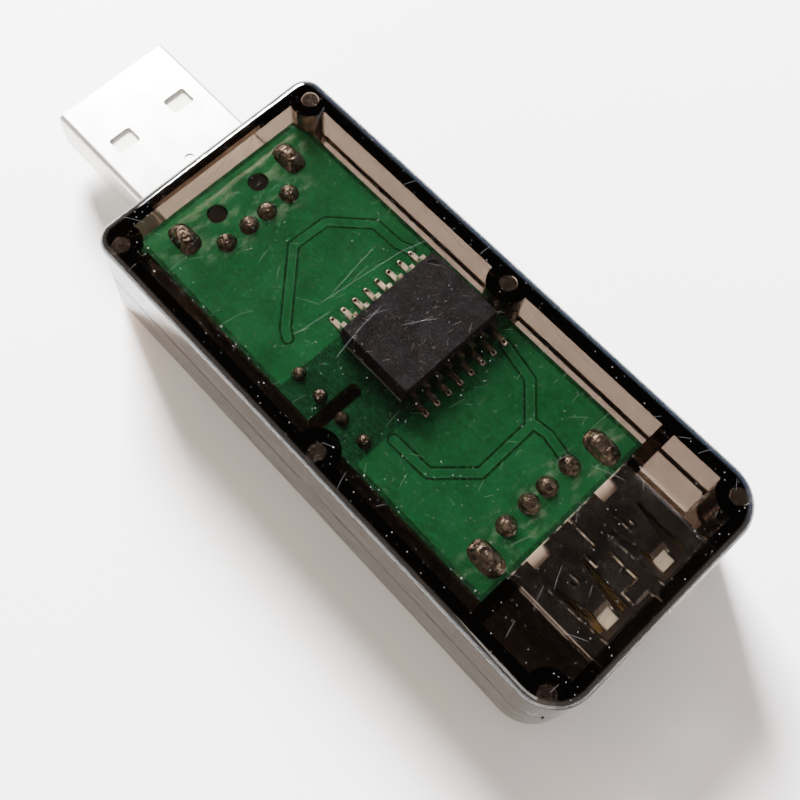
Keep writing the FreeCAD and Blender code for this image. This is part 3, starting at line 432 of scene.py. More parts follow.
def smoked_plastic(name, node_name, seed, long_scratches=(), frosted_above=None):
    """Glossy clear plastic that takes up light on its way through, with marks and dust on its outside."""
    material, tree, shader, place = new_surface(
        name, IOR=1.49, Transmission_Weight=1.0, Metallic=0.0, Base_Color=(1.0, 1.0, 1.0, 1.0))
    long_cuts = use(
        tree, SCRATCHES, Position=place, Cell=SCRATCH_CELL, Width=0.0024, Share=0.16, Seed=seed)["Mask"]
    short_cuts = use(
        tree, SCRATCHES, Position=place, Cell=SCRATCH_CELL * 0.3, Width=0.006, Share=0.22,
        Seed=seed + 3.7)["Mask"]
    cuts = calc(tree, "MAXIMUM", long_cuts, short_cuts)
    if long_scratches:
        distance = least_distance(tree, place, [(spot(*start), spot(*end)) for start, end in long_scratches])
        cuts = calc(tree, "MAXIMUM", cuts, span(tree, distance, 0.000005, 0.000016, 1.0, 0.0))
    specks = use(tree, DUST, Position=place, Cell=0.00045, Size=0.095, Share=0.8)["Mask"]
    x, y, z = put(tree, "SeparateXYZ", Vector=place).outputs
    from_rim = calc(tree, "ABSOLUTE", calc(tree, "SUBTRACT", y, RUBBED_RIM))
    rubbed_share = span(tree, from_rim, 0.0, RUBBED_REACH, 0.9, 0.0)
    rubbed = use(tree, DUST, Position=place, Cell=0.00032, Size=0.15, Share=rubbed_share)["Mask"]
    specks = calc(tree, "MAXIMUM", calc(tree, "MULTIPLY", specks, 0.32), rubbed)
    marks = calc(tree, "MAXIMUM", calc(tree, "MULTIPLY", cuts, 0.24), specks)
    on_outside = 0.0
    for value, low, high in zip((x, y, z), *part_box(node_name)):
        on_outside = calc(tree, "MAXIMUM", on_outside, calc(tree, "GREATER_THAN", value, high - SKIN_DEPTH))
        on_outside = calc(tree, "MAXIMUM", on_outside, calc(tree, "LESS_THAN", value, low + SKIN_DEPTH))
    marks = calc(tree, "MULTIPLY", marks, on_outside)
    if frosted_above:
        frost = span(tree, noise(tree, place, 2500.0, 4.0), 0.35, 0.70, 0.10, 0.34)
        marks = mix(tree, calc(tree, "GREATER_THAN", z, frosted_above), marks, frost)
    cloud = span(tree, noise(tree, place, 160.0, 4.0), 0.35, 0.75, 0.01, 0.05)
    fill(tree, shader.inputs["Roughness"], calc(tree, "MULTIPLY_ADD", marks, 0.34, cloud))
    relief(tree, shader, noise(tree, place, 90.0, 2.0), 0.000008, 0.6)
    pale = put(tree, "BsdfDiffuse", Color=(0.75, 0.75, 0.76, 1.0)).outputs[0]
    clear = put(tree, "BsdfTransparent", Color=(0.94, 0.94, 0.94, 1.0)).outputs[0]
    shadow = put(tree, "LightPath").outputs["Is Shadow Ray"]
    marked, skin = put(tree, "MixShader"), put(tree, "MixShader")
    for socket, value in zip(marked.inputs, (calc(tree, "MULTIPLY", marks, 0.32), shader.outputs[0], pale)):
        tree.links.new(value, socket)
    for socket, value in zip(skin.inputs, (shadow, marked.outputs[0], clear)):
        tree.links.new(value, socket)
    takes_up = put(tree, "VolumeAbsorption", Color=SMOKE, Density=PER_METRE).outputs[0]
    output = tree.nodes["Material Output"]
    tree.links.new(skin.outputs[0], output.inputs["Surface"])
    tree.links.new(takes_up, output.inputs["Volume"])
    return material


surfaces["top_cover"] = smoked_plastic("smoked_cover", "top_cover", 0.0, LONG_SCRATCHES)
surfaces["bottom_shell"] = smoked_plastic("smoked_shell", "bottom_shell", 5.0, frosted_above=PIN_ENDS)
print("smoked plastic on:", sorted(surfaces))

# %% [markdown]
# The two halves of the circuit are kept apart by a band with no copper, which crosses the board under the
# chip. Two signal tracks run inside the copper areas with a dark gap on each side. A drawing could be laid
# over the board as a picture, but a few straight stretches say the same and stay sharp from close by. Their
# points are places on the drawing of the case in millimetres.

# %% Board tracks
BOARD_TOP = 8.2
PLUG_TRACK = [
    (-9.2, -5.3), (-9.95, -4.9), (-15.2, 0.7), (-15.0, 4.2), (-12.0, 7.1), (-9.3, 7.2), (-8.3, 7.6)]
SOCKET_TRACK = [(3.1, 7.3), (6.5, 6.6), (9.2, 3.8), (9.25, -1.8), (6.5, -4.8), (2.8, -4.9)]
BRANCH_TRACK = [(9.25, 4.1), (10.6, 4.3), (12.65, 3.9)]
TRACK_HALF, GAP_HALF = 0.00036, 0.00054
BAND_LOW, BAND_HIGH = spot(-6.55, 0)[0], spot(2.28, 0)[0]
BAND_SOFT = 0.00003
PALE_LINE = ((-5.4, -2.26), (0.85, -2.26))
board_low, board_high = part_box("circuit_board")


def near_joints(tree, place):
    """1 beside the rows of soldered joints, 0 further away."""
    rows = []
    for node_name in ("plug_pin_solder", "plug_tab_solder", "socket_pin_solder", "socket_tab_solder"):
        (low_x, low_y, _), (high_x, high_y, _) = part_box(node_name)
        middle_x = (low_x + high_x) / 2
        rows.append(((middle_x, low_y, 0.0), (middle_x, high_y, 0.0)))
    return span(tree, least_distance(tree, place, rows), 0.0008, 0.0019, 1.0, 0.0)


TRACKS = []
for track in (PLUG_TRACK, SOCKET_TRACK, BRANCH_TRACK):
    TRACKS += stretches_of([spot(*point) for point in track])
print("stretches of track:", len(TRACKS))
print("board from", [round(value / MM, 2) for value in board_low], "to", [
    round(value / MM, 2) for value in board_high])

# %% [markdown]
# The board is glass cloth under green lacquer. Where copper lies below the lacquer it is brighter, where
# the copper is etched away it is darker, and the weave shows through as a fine lighter grain. Flux has dried
# to a pale film beside the rows of joints, one thin pale line is drawn along the chip's side, and the lacquer
# has picked up scratches and lint. Each of these is one mask that mixes its own colour over the ones before.
# The printed lettering is left out.

# %% Board lacquer
material, tree, shader, place = new_surface("green_lacquered_board", IOR=1.5, Specular_IOR_Level=0.22)
x, y, z = put(tree, "SeparateXYZ", Vector=place).outputs
on_top = span(tree, z, (BOARD_TOP - 0.06) * MM, (BOARD_TOP - 0.02) * MM)
distance = least_distance(tree, place, TRACKS)
in_gap = calc(
    tree, "MULTIPLY", span(tree, distance, TRACK_HALF - 0.00004, TRACK_HALF + 0.00002),
    span(tree, distance, GAP_HALF - 0.00002, GAP_HALF + 0.00005, 1.0, 0.0))
in_band = calc(
    tree, "MULTIPLY", span(tree, x, BAND_LOW - BAND_SOFT, BAND_LOW + BAND_SOFT),
    span(tree, x, BAND_HIGH - BAND_SOFT, BAND_HIGH + BAND_SOFT, 1.0, 0.0))
to_rim = [
    calc(tree, "MINIMUM", calc(tree, "SUBTRACT", value, low), calc(tree, "SUBTRACT", high, value))
    for value, low, high in zip((x, y), board_low, board_high)]
at_rim = span(tree, calc(tree, "MINIMUM", *to_rim), 0.00035, 0.00042, 1.0, 0.0)
bare_glass = calc(tree, "MAXIMUM", calc(tree, "MAXIMUM", in_gap, in_band), at_rim)
cloth = noise(tree, vector(tree, "MULTIPLY", place, (1.0, 2.2, 1.0)), 2600.0, 2.0)
blotch = span(tree, noise(tree, place, 260.0, 5.0), 0.3, 0.72)
copper_green = mix(tree, blotch, (0.0065, 0.074, 0.028, 1.0), (0.013, 0.122, 0.050, 1.0))
glass_green = mix(tree, blotch, (0.0038, 0.027, 0.0130, 1.0), (0.0062, 0.045, 0.022, 1.0))
lacquer = mix(tree, bare_glass, copper_green, glass_green)
lacquer = mix(tree, calc(tree, "MULTIPLY", in_gap, 0.6), lacquer, (0.0010, 0.008, 0.004, 1.0))
# Painted highlight: a pale line just inside each track's edge stands for the glint on its raised edge.
track_edge_highlight = calc(
    tree, "MULTIPLY", span(tree, distance, TRACK_HALF - 0.00009, TRACK_HALF - 0.00006),
    span(tree, distance, TRACK_HALF - 0.00005, TRACK_HALF - 0.00001, 1.0, 0.0))
lacquer = mix(tree, calc(tree, "MULTIPLY", track_edge_highlight, 0.40), lacquer, (0.05, 0.27, 0.14, 1.0))
fibre = span(tree, cloth, 0.40, 0.66, 0.0, 0.22)
lacquer = mix(tree, fibre, lacquer, (0.016, 0.22, 0.09, 1.0))
pale_line_distance = use(
    tree, STRETCH, Position=place, Start=spot(*PALE_LINE[0]), End=spot(*PALE_LINE[1]))["Distance"]
lacquer = mix(tree, span(tree, pale_line_distance, 0.00004, 0.00009, 0.55, 0.0), lacquer, (0.55, 0.66, 0.58, 1.0))
streaks = noise(tree, vector(tree, "MULTIPLY", place, (1.0, 0.5, 1.0)), 1300.0, 4.0)
film = calc(tree, "MULTIPLY", span(tree, streaks, 0.50, 0.72, 0.0, 0.45), near_joints(tree, place))
lacquer = mix(tree, film, lacquer, (0.24, 0.38, 0.28, 1.0))
surface_cuts = use(tree, SCRATCHES, Position=place, Cell=0.0022, Width=0.018, Share=0.25, Seed=1.5)["Mask"]
lacquer = mix(tree, calc(tree, "MULTIPLY", surface_cuts, 0.25), lacquer, (0.30, 0.60, 0.42, 1.0))
lint = use(tree, DUST, Position=place, Cell=0.0005, Size=0.075, Share=0.8)["Mask"]
lacquer = mix(tree, calc(tree, "MULTIPLY", lint, 0.5), lacquer, (0.55, 0.72, 0.62, 1.0))
edge_tone = mix(tree, span(tree, cloth, 0.3, 0.7), (0.022, 0.038, 0.019, 1.0), (0.065, 0.088, 0.044, 1.0))
below = span(tree, z, board_low[2] + 0.00002, board_low[2] + 0.00006, 1.0, 0.0)
face = calc(tree, "MAXIMUM", on_top, below)
colour = mix(tree, face, edge_tone, lacquer)
print("board lacquer nodes:", len(tree.nodes))

# %% [markdown]
# Bare tinned pads lie under the chip's two rows of feet. Both rows are alike, so one rectangle is drawn and
# folded to all sixteen places: the distance from the middle between the rows stands in for X, and a
# to-and-fro of one lead pitch for Y.

# %% Pads under the chip's feet
LEAD_PITCH = 0.00127
PAD_HALF, PAD_INSET = (0.00072, 0.00024, 0.0), 0.00045
chip_low, chip_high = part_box("isolator_chip")
toe_low, toe_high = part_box("chip_lead_1")[0][0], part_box("chip_lead_9")[1][0]
row_middle, row_half = (chip_low[1] + chip_high[1]) / 2, 4 * LEAD_PITCH
feet_middle, feet_half = (toe_low + toe_high) / 2, (toe_high - toe_low) / 2
from_feet = calc(tree, "ABSOLUTE", calc(tree, "SUBTRACT", x, feet_middle))
in_row = calc(tree, "PINGPONG", calc(tree, "SUBTRACT", y, row_middle), LEAD_PITCH / 2)
from_lead = calc(tree, "SUBTRACT", LEAD_PITCH / 2, in_row)
in_rows = calc(tree, "LESS_THAN", calc(tree, "ABSOLUTE", calc(tree, "SUBTRACT", y, row_middle)), row_half)
pads = use(
    tree, RECTANGLE, Position=put(tree, "CombineXYZ", X=from_feet, Y=from_lead).outputs[0],
    Middle=(feet_half - PAD_INSET, 0.0, 0.0), Half=PAD_HALF)["Mask"]
pads = calc(tree, "MULTIPLY", calc(tree, "MULTIPLY", pads, in_rows), on_top)
grain = span(tree, noise(tree, place, 4200.0), 0.3, 0.7)
tin = mix(tree, grain, (0.42, 0.40, 0.37, 1.0), (0.72, 0.70, 0.66, 1.0))
fill(tree, shader.inputs["Base Color"], mix(tree, pads, colour, tin))
fill(tree, shader.inputs["Metallic"], pads)
gloss = span(tree, noise(tree, place, 900.0, 4.0), 0.3, 0.7, 0.08, 0.17)
fill(tree, shader.inputs["Roughness"], gloss)
relief(tree, shader, cloth, 0.000005, 0.6)
surfaces["board"] = material
print("pads reach", round(feet_half / MM, 2), "mm to each side of the middle")

# %% [markdown]
# Filled black epoxy leaves the mould with a fine matt grain. It is a little greyer where it was rubbed, and
# carries fine bright scratches.

# %% The chip
material, tree, shader, place = new_surface("matt_chip_epoxy", IOR=1.5, Specular_IOR_Level=0.05)
grain = noise(tree, place, 6500.0, 2.0)
patch = span(tree, noise(tree, place, 700.0, 5.0), 0.32, 0.70)
black = mix(tree, patch, (0.0095, 0.0118, 0.0175, 1.0), (0.023, 0.0275, 0.039, 1.0))
black = mix(tree, span(tree, grain, 0.48, 0.74, 0.0, 0.6), black, (0.072, 0.077, 0.096, 1.0))
cuts = use(tree, SCRATCHES, Position=place, Cell=0.0019, Width=0.008, Share=0.30, Seed=2.0)["Mask"]
fine = use(tree, SCRATCHES, Position=place, Cell=0.0008, Width=0.018, Share=0.30, Seed=7.0)["Mask"]
marks = calc(tree, "MAXIMUM", cuts, calc(tree, "MULTIPLY", fine, 0.5))
lint = use(tree, DUST, Position=place, Cell=0.0005, Size=0.08, Share=0.8)["Mask"]
marks = calc(tree, "MAXIMUM", marks, calc(tree, "MULTIPLY", lint, 0.5))
fill(tree, shader.inputs["Base Color"], mix(
    tree, calc(tree, "MULTIPLY", marks, 0.7), black, (0.55, 0.55, 0.60, 1.0)))
fill(tree, shader.inputs["Roughness"], span(tree, grain, 0.3, 0.7, 0.42, 0.62))
relief(tree, shader, grain, 0.00002, 0.8)
surfaces["chip"] = material
print("chip surface:", material.name)

# %% [markdown]
# The chip's leads are punched from sheet and dipped in tin, which leaves a soft, slightly wavy silver skin
# with duller patches. The row on the socket's side lies in the chip's shadow, and that shade is painted onto
# its colour as a dark brown.

# %% Tinned leads
material, tree, shader, place = new_surface("tinned_lead", Metallic=1.0)
wave = noise(tree, place, 2600.0, 4.0)
tin = mix(tree, span(tree, wave, 0.35, 0.7), (0.88, 0.83, 0.72, 1.0), (1.0, 0.97, 0.88, 1.0))
across = put(tree, "SeparateXYZ", Vector=place).outputs[0]
# Painted shade: the row on the socket's side is mixed to dark brown for the chip's shadow.
far_row_shade = span(tree, across, feet_middle, feet_middle + 0.0005, 0.0, 0.80)
fill(tree, shader.inputs["Base Color"], mix(tree, far_row_shade, tin, (0.15, 0.125, 0.095, 1.0)))
fill(tree, shader.inputs["Roughness"], span(tree, noise(tree, place, 1400.0), 0.35, 0.65, 0.24, 0.40))
relief(tree, shader, wave, 0.00001, 0.8)
surfaces["tinned_lead"] = material
print("lead rows part at x =", round(feet_middle / MM, 2), "mm")

# %% [markdown]
# The pools of solder at the feet are bright on their raised rim and hold dark flux in their hollow, so the
# height decides between the two colours, with a noise to break the line.

# %% Solder of the chip's feet
POOL_RIM = 0.00829
material, tree, shader, place = new_surface("lead_solder", Metallic=1.0)
height_up = put(tree, "SeparateXYZ", Vector=place).outputs[2]
uneven = calc(tree, "MULTIPLY_ADD", noise(tree, place, 3500.0), 0.00004, height_up)
rim = span(tree, uneven, POOL_RIM, POOL_RIM + 0.00004)
fill(tree, shader.inputs["Base Color"], mix(tree, rim, (0.035, 0.030, 0.022, 1.0), (0.95, 0.92, 0.84, 1.0)))
fill(tree, shader.inputs["Roughness"], span(tree, noise(tree, place, 1400.0), 0.35, 0.65, 0.18, 0.34))
surfaces["lead_solder"] = material
print("solder rims above", round(POOL_RIM / MM, 2), "mm")

# %% [markdown]
# The socket's sheet shows bare steel where it was cut: along the seam, the rear edge and the mouth, at the
# hooks and at the openings beside the springs. A bevel would be too fine to see here, so thin lines of
# brighter and rougher metal follow those edges as painted highlights for their glint. The springs' tips get a
# brighter, rougher patch, a painted highlight for the reflection of the window. Their points are millimetres
# from the socket's mouth. The hooks, openings and tips are drawn once and mirrored to the other side.

# %% Painted highlights on the socket's cut edges and spring tips
SEAM_LINE = [
    (-9.10, 0.06), (-6.39, 0.06), (-6.39, -1.04), (-5.24, -1.04), (-5.24, 0.51), (-2.64, 0.51),
    (-2.64, -1.04), (-1.49, -1.04), (-1.49, 0.51), (-0.4, 0.51)]
RIM_LINES = [
    [(-9.06, -6.3), (-9.06, 6.3)], [(-0.05, -6.2), (-0.05, -4.8)], [(-0.05, -1.4), (-0.05, 1.9)],
    [(-0.05, 5.0), (-0.05, 6.3)]]
HOOK_LINE = [(-6.7, 2.83), (-5.26, 2.83), (-5.26, 3.37), (-5.85, 3.37)]
OPENING_LINES = [[(-6.4, 1.35), (-1.0, 1.65)], [(-6.4, 4.85), (-1.0, 4.55)]]
SPRING_ASIDE, TIP_MIDDLE, TIP_HALF = 3.1, -2.15, (0.62, 0.75)
PAINTED_HIGHLIGHT_STEEL = (1.0, 1.0, 0.90, 1.0)


def from_mouth(mouth, lines):
    """The stretches of lines that are drawn from the socket's mouth, as places in the frame."""
    stretches = []
    for line in lines:
        stretches += stretches_of([(mouth + x * MM, y * MM, 0.0) for x, y in line])
    return stretches


def painted_highlight_places(tree, place):
    """1 where highlights are painted: at the cut edges in the socket's top and at the tips of its two springs.
    """
    (_, _, low_z), (mouth, _, high_z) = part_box("socket_shell")
    mirrored = vector(tree, "MULTIPLY", vector(tree, "ABSOLUTE", place), (1.0, 1.0, 0.0))
    seam = least_distance(tree, place, from_mouth(mouth, [SEAM_LINE] + RIM_LINES))
    slits = least_distance(tree, mirrored, from_mouth(mouth, [HOOK_LINE] + OPENING_LINES))
    # A noise breaks up the painted highlights along the edges.
    highlight_breakup = noise(tree, place, 1500.0)
    on_seam = span(tree, seam, 0.00007, 0.00010, 1.0, 0.0)
    on_slits = span(tree, slits, 0.00006, 0.00010, 1.0, 0.0)
    edges = calc(tree, "MULTIPLY", on_seam, span(tree, highlight_breakup, 0.42, 0.58, 0.15, 0.9))
    faint = calc(tree, "MULTIPLY", on_slits, span(tree, highlight_breakup, 0.45, 0.60, 0.05, 0.5))
    tips = use(
        tree, RECTANGLE, Position=mirrored, Middle=(mouth + TIP_MIDDLE * MM, SPRING_ASIDE * MM, 0.0),
        Half=(TIP_HALF[0] * MM, TIP_HALF[1] * MM, 1.0), Soft=0.00015)["Mask"]
    lines = calc(tree, "MAXIMUM", edges, faint)
    height_up = put(tree, "SeparateXYZ", Vector=place).outputs[2]
    on_top = calc(tree, "GREATER_THAN", height_up, (low_z + high_z) / 2)
    return calc(tree, "MULTIPLY", calc(tree, "MAXIMUM", lines, tips), on_top)


print("bare edges:", len(SEAM_LINE) - 1, "stretches of seam,", len(RIM_LINES), "of rim")

# %% [markdown]
# Both shells are rolled and folded sheet steel with a bright nickel skin. The plug's shell is rubbed by use:
# fine lines along its length, dull clouds and a few deeper scratches. The socket's shell sits inside the case
# and keeps more of its gloss; its nickel is coloured darker than the plug's, a painted shade for its place in
# the case.

# %% Plug and socket metal


def plated_sheet(name, dark, light, gloss_low, gloss_high, share, seed, highlight_places=None):
    """Nickel-plated sheet metal with rolling lines, clouds, scratches and, if given, painted highlights."""
    material, tree, shader, place = new_surface(name, Metallic=1.0)
    pattern = use(tree, DRAWN, Position=place)
    tone = mix(tree, span(tree, pattern["Clouds"], 0.32, 0.72), dark, light)
    duller = tuple(0.75 * value for value in light[:3]) + (1.0,)
    tone = mix(tree, span(tree, pattern["Lines"], 0.35, 0.65, 0.0, 0.25), tone, duller)
    cuts = use(tree, SCRATCHES, Position=place, Cell=0.0028, Width=0.012, Share=share, Seed=seed)["Mask"]
    tone = mix(tree, calc(tree, "MULTIPLY", cuts, 0.4), tone, WHITE)
    cloudy = span(tree, pattern["Clouds"], 0.3, 0.7, gloss_low, gloss_high)
    rubbed = calc(tree, "MULTIPLY_ADD", pattern["Lines"], 0.08, cloudy)
    rough = calc(tree, "MULTIPLY_ADD", cuts, 0.2, rubbed)
    if highlight_places:
        # Painted highlights: the masked edges and tips are mixed to a brighter, rougher metal.
        highlight = highlight_places(tree, place)
        tone = mix(tree, highlight, tone, PAINTED_HIGHLIGHT_STEEL)
        rough = calc(tree, "MULTIPLY_ADD", highlight, 0.30, rough)
    fill(tree, shader.inputs["Base Color"], tone)
    fill(tree, shader.inputs["Roughness"], rough)
    height = calc(tree, "SUBTRACT", calc(tree, "MULTIPLY", pattern["Lines"], 0.35), cuts)
    relief(tree, shader, height, 0.000002, 0.7)
    return material


surfaces["plug_metal"] = plated_sheet(
    "nickel_plated_plug", (0.585, 0.57, 0.535, 1.0), (0.645, 0.63, 0.595, 1.0), 0.27, 0.31, 0.3, 0.0)
# The socket's darker nickel is a painted shade for its place inside the case; its edges and tips get painted
# highlights.
surfaces["socket_metal"] = plated_sheet(
    "nickel_socket_painted_light", (0.28, 0.285, 0.30, 1.0), (0.50, 0.51, 0.53, 1.0), 0.10, 0.19, 0.35, 4.0,
    painted_highlight_places)
print("sheet metal:", surfaces["plug_metal"].name, "and", surfaces["socket_metal"].name)

# %% [markdown]
# The carriers are moulded plastic with a faint flow pattern. The socket's is white at its tail, and its
# tongue, which lies inside the shell, is coloured dark brown as a painted shade. The plug's is cream where it
# shows through the plug's windows and coloured near black inside the case, a painted shade for the dark holes
# where its pegs show as dark discs in the board. So both are one clean plastic with a painted shade from a
# certain X on.

# %% Contact carriers
TONGUE_START, PEG_PART, SHADE_BLEND = 0.0232, -0.0180, 0.0008


def carrier_plastic(name, specular, tones, gloss, shade_start, shade_share, painted_shade):
    """Moulded plastic with a flow pattern, darkened beyond a given X as a painted shade."""
    material, tree, shader, place = new_surface(name, IOR=1.53, Specular_IOR_Level=specular)
    flow = noise(tree, vector(tree, "MULTIPLY", place, (0.35, 1.0, 1.0)), 700.0, 3.0)
    clean = mix(tree, span(tree, flow, 0.35, 0.7), *tones)
    along = put(tree, "SeparateXYZ", Vector=place).outputs[0]
    # Painted shade: from the given X on, the colour is mixed towards the dark one.
    shade_mask = span(tree, along, shade_start, shade_start + SHADE_BLEND, 0.0, shade_share)
    fill(tree, shader.inputs["Base Color"], mix(tree, shade_mask, clean, painted_shade))
    fill(tree, shader.inputs["Roughness"], span(tree, flow, 0.3, 0.7, *gloss))
    relief(tree, shader, noise(tree, place, 6000.0), 0.00001, 0.5)
    return material


# The tongue's dark brown is a painted shade for its place inside the shell.
surfaces["contact_carrier"] = carrier_plastic(
    "white_carrier_plastic", 0.3, ((0.68, 0.63, 0.58, 1.0), (0.80, 0.75, 0.70, 1.0)), (0.38, 0.52),
    TONGUE_START, 0.94, (0.055, 0.044, 0.034, 1.0))
# The near black inside the case is a painted shade for the dark holes round the pegs.
surfaces["plug_carrier"] = carrier_plastic(
    "pale_carrier_plastic", 0.05, ((0.80, 0.78, 0.71, 1.0), (0.86, 0.84, 0.78, 1.0)), (0.34, 0.50),
    PEG_PART, 1.0, (0.0035, 0.0032, 0.0030, 1.0))
print("carriers:", surfaces["contact_carrier"].name, "and", surfaces["plug_carrier"].name)

# %% [markdown]
# The contacts are thin strips of spring bronze with a gold flash where they touch. Plugs have drawn fine
# wear lines along them, so they share the drawn metal of the shells, with finer lines.

# %% Contacts
material, tree, shader, place = new_surface("gold_flashed_contact", Metallic=1.0)
pattern = use(tree, DRAWN, Position=place, Lines=16000.0)
fill(tree, shader.inputs["Base Color"], mix(
    tree, span(tree, pattern["Clouds"], 0.3, 0.7), (0.70, 0.47, 0.20, 1.0), (0.92, 0.71, 0.36, 1.0)))
fill(tree, shader.inputs["Roughness"], span(tree, pattern["Lines"], 0.3, 0.7, 0.16, 0.34))
relief(tree, shader, pattern["Lines"], 0.000005, 0.6)
surfaces["contact_metal"] = material
print("contact surface:", material.name)

# %% [markdown]
# The converter below the board is a block cast in black resin, with pinholes and a dull skin. The dust
# pattern gives the pinholes too, when it is sunk into the surface.

# %% The power converter
material, tree, shader, place = new_surface("cast_resin_converter", IOR=1.5, Specular_IOR_Level=0.2)
skin = noise(tree, place, 3000.0, 4.0)
holes = use(tree, DUST, Position=place, Cell=0.0008, Size=0.10, Share=0.4)["Mask"]
fill(tree, shader.inputs["Base Color"], mix(
    tree, span(tree, skin, 0.35, 0.7), (0.004, 0.004, 0.005, 1.0), (0.011, 0.011, 0.012, 1.0)))
fill(tree, shader.inputs["Roughness"], span(tree, skin, 0.3, 0.7, 0.36, 0.55))
relief(tree, shader, calc(tree, "SUBTRACT", skin, holes), 0.00004, 0.8)
surfaces["converter"] = material
print("converter surface:", material.name)

# %% [markdown]
# The small parts have tinned caps at both ends, which are soldered down: the resistors are black between
# them, the capacitors a warm brown ceramic. How far a point lies along the part's own length says whether it
# is cap or middle.

# %% Resistors and capacitors


def capped_part(name, dark, light):
    """A small two-ended part: ceramic or film in the middle, tinned caps at its ends."""
    material, tree, shader, place = new_surface(name, IOR=1.55)
    share = put(tree, "SeparateXYZ", Vector=put(tree, "TexCoord").outputs["Generated"]).outputs[0]
    from_end = calc(tree, "SUBTRACT", 0.5, calc(tree, "ABSOLUTE", calc(tree, "SUBTRACT", share, 0.5)))
    ragged = calc(tree, "MULTIPLY_ADD", noise(tree, place, 5000.0), 0.05, from_end)
    cap = span(tree, ragged, 0.235, 0.255, 1.0, 0.0)
    grain = span(tree, noise(tree, place, 5000.0, 4.0), 0.3, 0.7)
    middle = mix(tree, grain, dark, light)
    tin = mix(tree, grain, (0.50, 0.48, 0.45, 1.0), (0.84, 0.82, 0.79, 1.0))
    fill(tree, shader.inputs["Base Color"], mix(tree, cap, middle, tin))
    fill(tree, shader.inputs["Metallic"], cap)
    fill(tree, shader.inputs["Roughness"], span(tree, grain, 0.0, 1.0, 0.26, 0.42))
    relief(tree, shader, calc(tree, "MULTIPLY_ADD", cap, 0.6, grain), 0.00003)
    return material


surfaces["resistor"] = capped_part("film_resistor", (0.012, 0.012, 0.013, 1.0), (0.040, 0.038, 0.038, 1.0))
surfaces["capacitor"] = capped_part("ceramic_capacitor", (0.26, 0.16, 0.09, 1.0), (0.42, 0.28, 0.17, 1.0))
print("small parts:", surfaces["resistor"].name, "and", surfaces["capacitor"].name)

# %% [markdown]
# Solder sets with a bright, slightly wrinkled skin. On this board brown flux has stayed around the joints.
# It covers a joint below the first of these two heights in millimetres, fades out up to the second, and
# leaves patches above.

# %% Solder
FLUX_FULL, FLUX_END = 8.15, 8.65
material, tree, shader, place = new_surface(
    "flux_stained_solder", Metallic=0.85, Coat_Weight=0.5, Coat_Roughness=0.1)
wrinkle = noise(tree, place, 2200.0, 4.0)
height_up = put(tree, "SeparateXYZ", Vector=place).outputs[2]
foot = span(tree, height_up, FLUX_FULL * MM, FLUX_END * MM, 1.0, 0.0)
patches = span(tree, noise(tree, place, 1100.0), 0.35, 0.7)
stain = calc(tree, "MULTIPLY", calc(tree, "MULTIPLY_ADD", patches, 0.7, foot, clamp=True), 0.85)
metal = mix(tree, span(tree, wrinkle, 0.35, 0.7), (0.060, 0.050, 0.045, 1.0), (0.40, 0.36, 0.31, 1.0))
fill(tree, shader.inputs["Base Color"], mix(tree, stain, metal, (0.036, 0.024, 0.018, 1.0)))
fill(tree, shader.inputs["Roughness"], span(tree, wrinkle, 0.3, 0.7, 0.12, 0.38))
relief(tree, shader, wrinkle, 0.00012, 0.9)
surfaces["solder"] = material
print("surfaces:", sorted(surfaces))

# %% [markdown]
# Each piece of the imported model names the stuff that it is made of, so each gets the surface of that name.

# %% Surfaces on the pieces
for name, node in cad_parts.items():
    stuff = node.data.materials[0].name.split(".")[0]
    node.data.materials[0] = surfaces[stuff]
print("pieces dressed:", len(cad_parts))

# %% [markdown]
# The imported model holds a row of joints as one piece. Its mesh falls into separate solids, and the box of
# each gives the place and size of one joint. Vertices at the same place belong together, and so do the two
# ends of an edge.

# %% Where the joints stand


def islands(node):
    """The boxes of the separate solids of a piece, as pairs of corners."""
    mesh = node.data
    parent = list(range(len(mesh.vertices)))

    def root(index):
        while parent[index] != index:
            parent[index] = parent[parent[index]]
            index = parent[index]
        return index

    keys = {}
    for vertex in mesh.vertices:
        key = tuple(round(value, 6) for value in vertex.co)
        if key in keys:
            parent[root(vertex.index)] = root(keys[key])
        keys.setdefault(key, vertex.index)
    for edge in mesh.edges:
        first, second = edge.vertices
        parent[root(first)] = root(second)
    groups = {}
    for vertex in mesh.vertices:
        groups.setdefault(root(vertex.index), []).append(vertex.co)
    corners = []
    for points in groups.values():
        low = Vector(min(point[axis] for point in points) for axis in range(3))
        high = Vector(max(point[axis] for point in points) for axis in range(3))
        corners.append((low, high))
    return sorted(corners, key=lambda pair: (round(pair[0][0], 5), pair[0][1]))


print("joints at the converter:", len(islands(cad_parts["converter_solder"])))

# %% [markdown]
# Molten solder climbs the pin and spreads over its pad, so a joint's side is hollow near the foot and round
# near the top, and the pin's cut end stands in a small dimple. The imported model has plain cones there, and
# bevelled blocks at the shells' tabs. Each is replaced by a turned shape of the same height and width, made a
# little uneven as by hand, with the cut end of the pin on top. A joint at a tab is longer than it is wide, so
# its outline is stretched. The profile lists how wide the joint is at each share of its height.

# %% Shape of a soldered joint
PROFILE = [
    (1.00, 0.00), (0.985, 0.05), (0.93, 0.13), (0.85, 0.24), (0.78, 0.38), (0.72, 0.54), (0.66, 0.70),
    (0.58, 0.83), (0.48, 0.92), (0.38, 0.965), (0.34, 0.95), (0.31, 0.93), (0.28, 0.955), (0.24, 0.99),
    (0.16, 1.00), (0.07, 1.00)]
ROUND_STEPS = 40


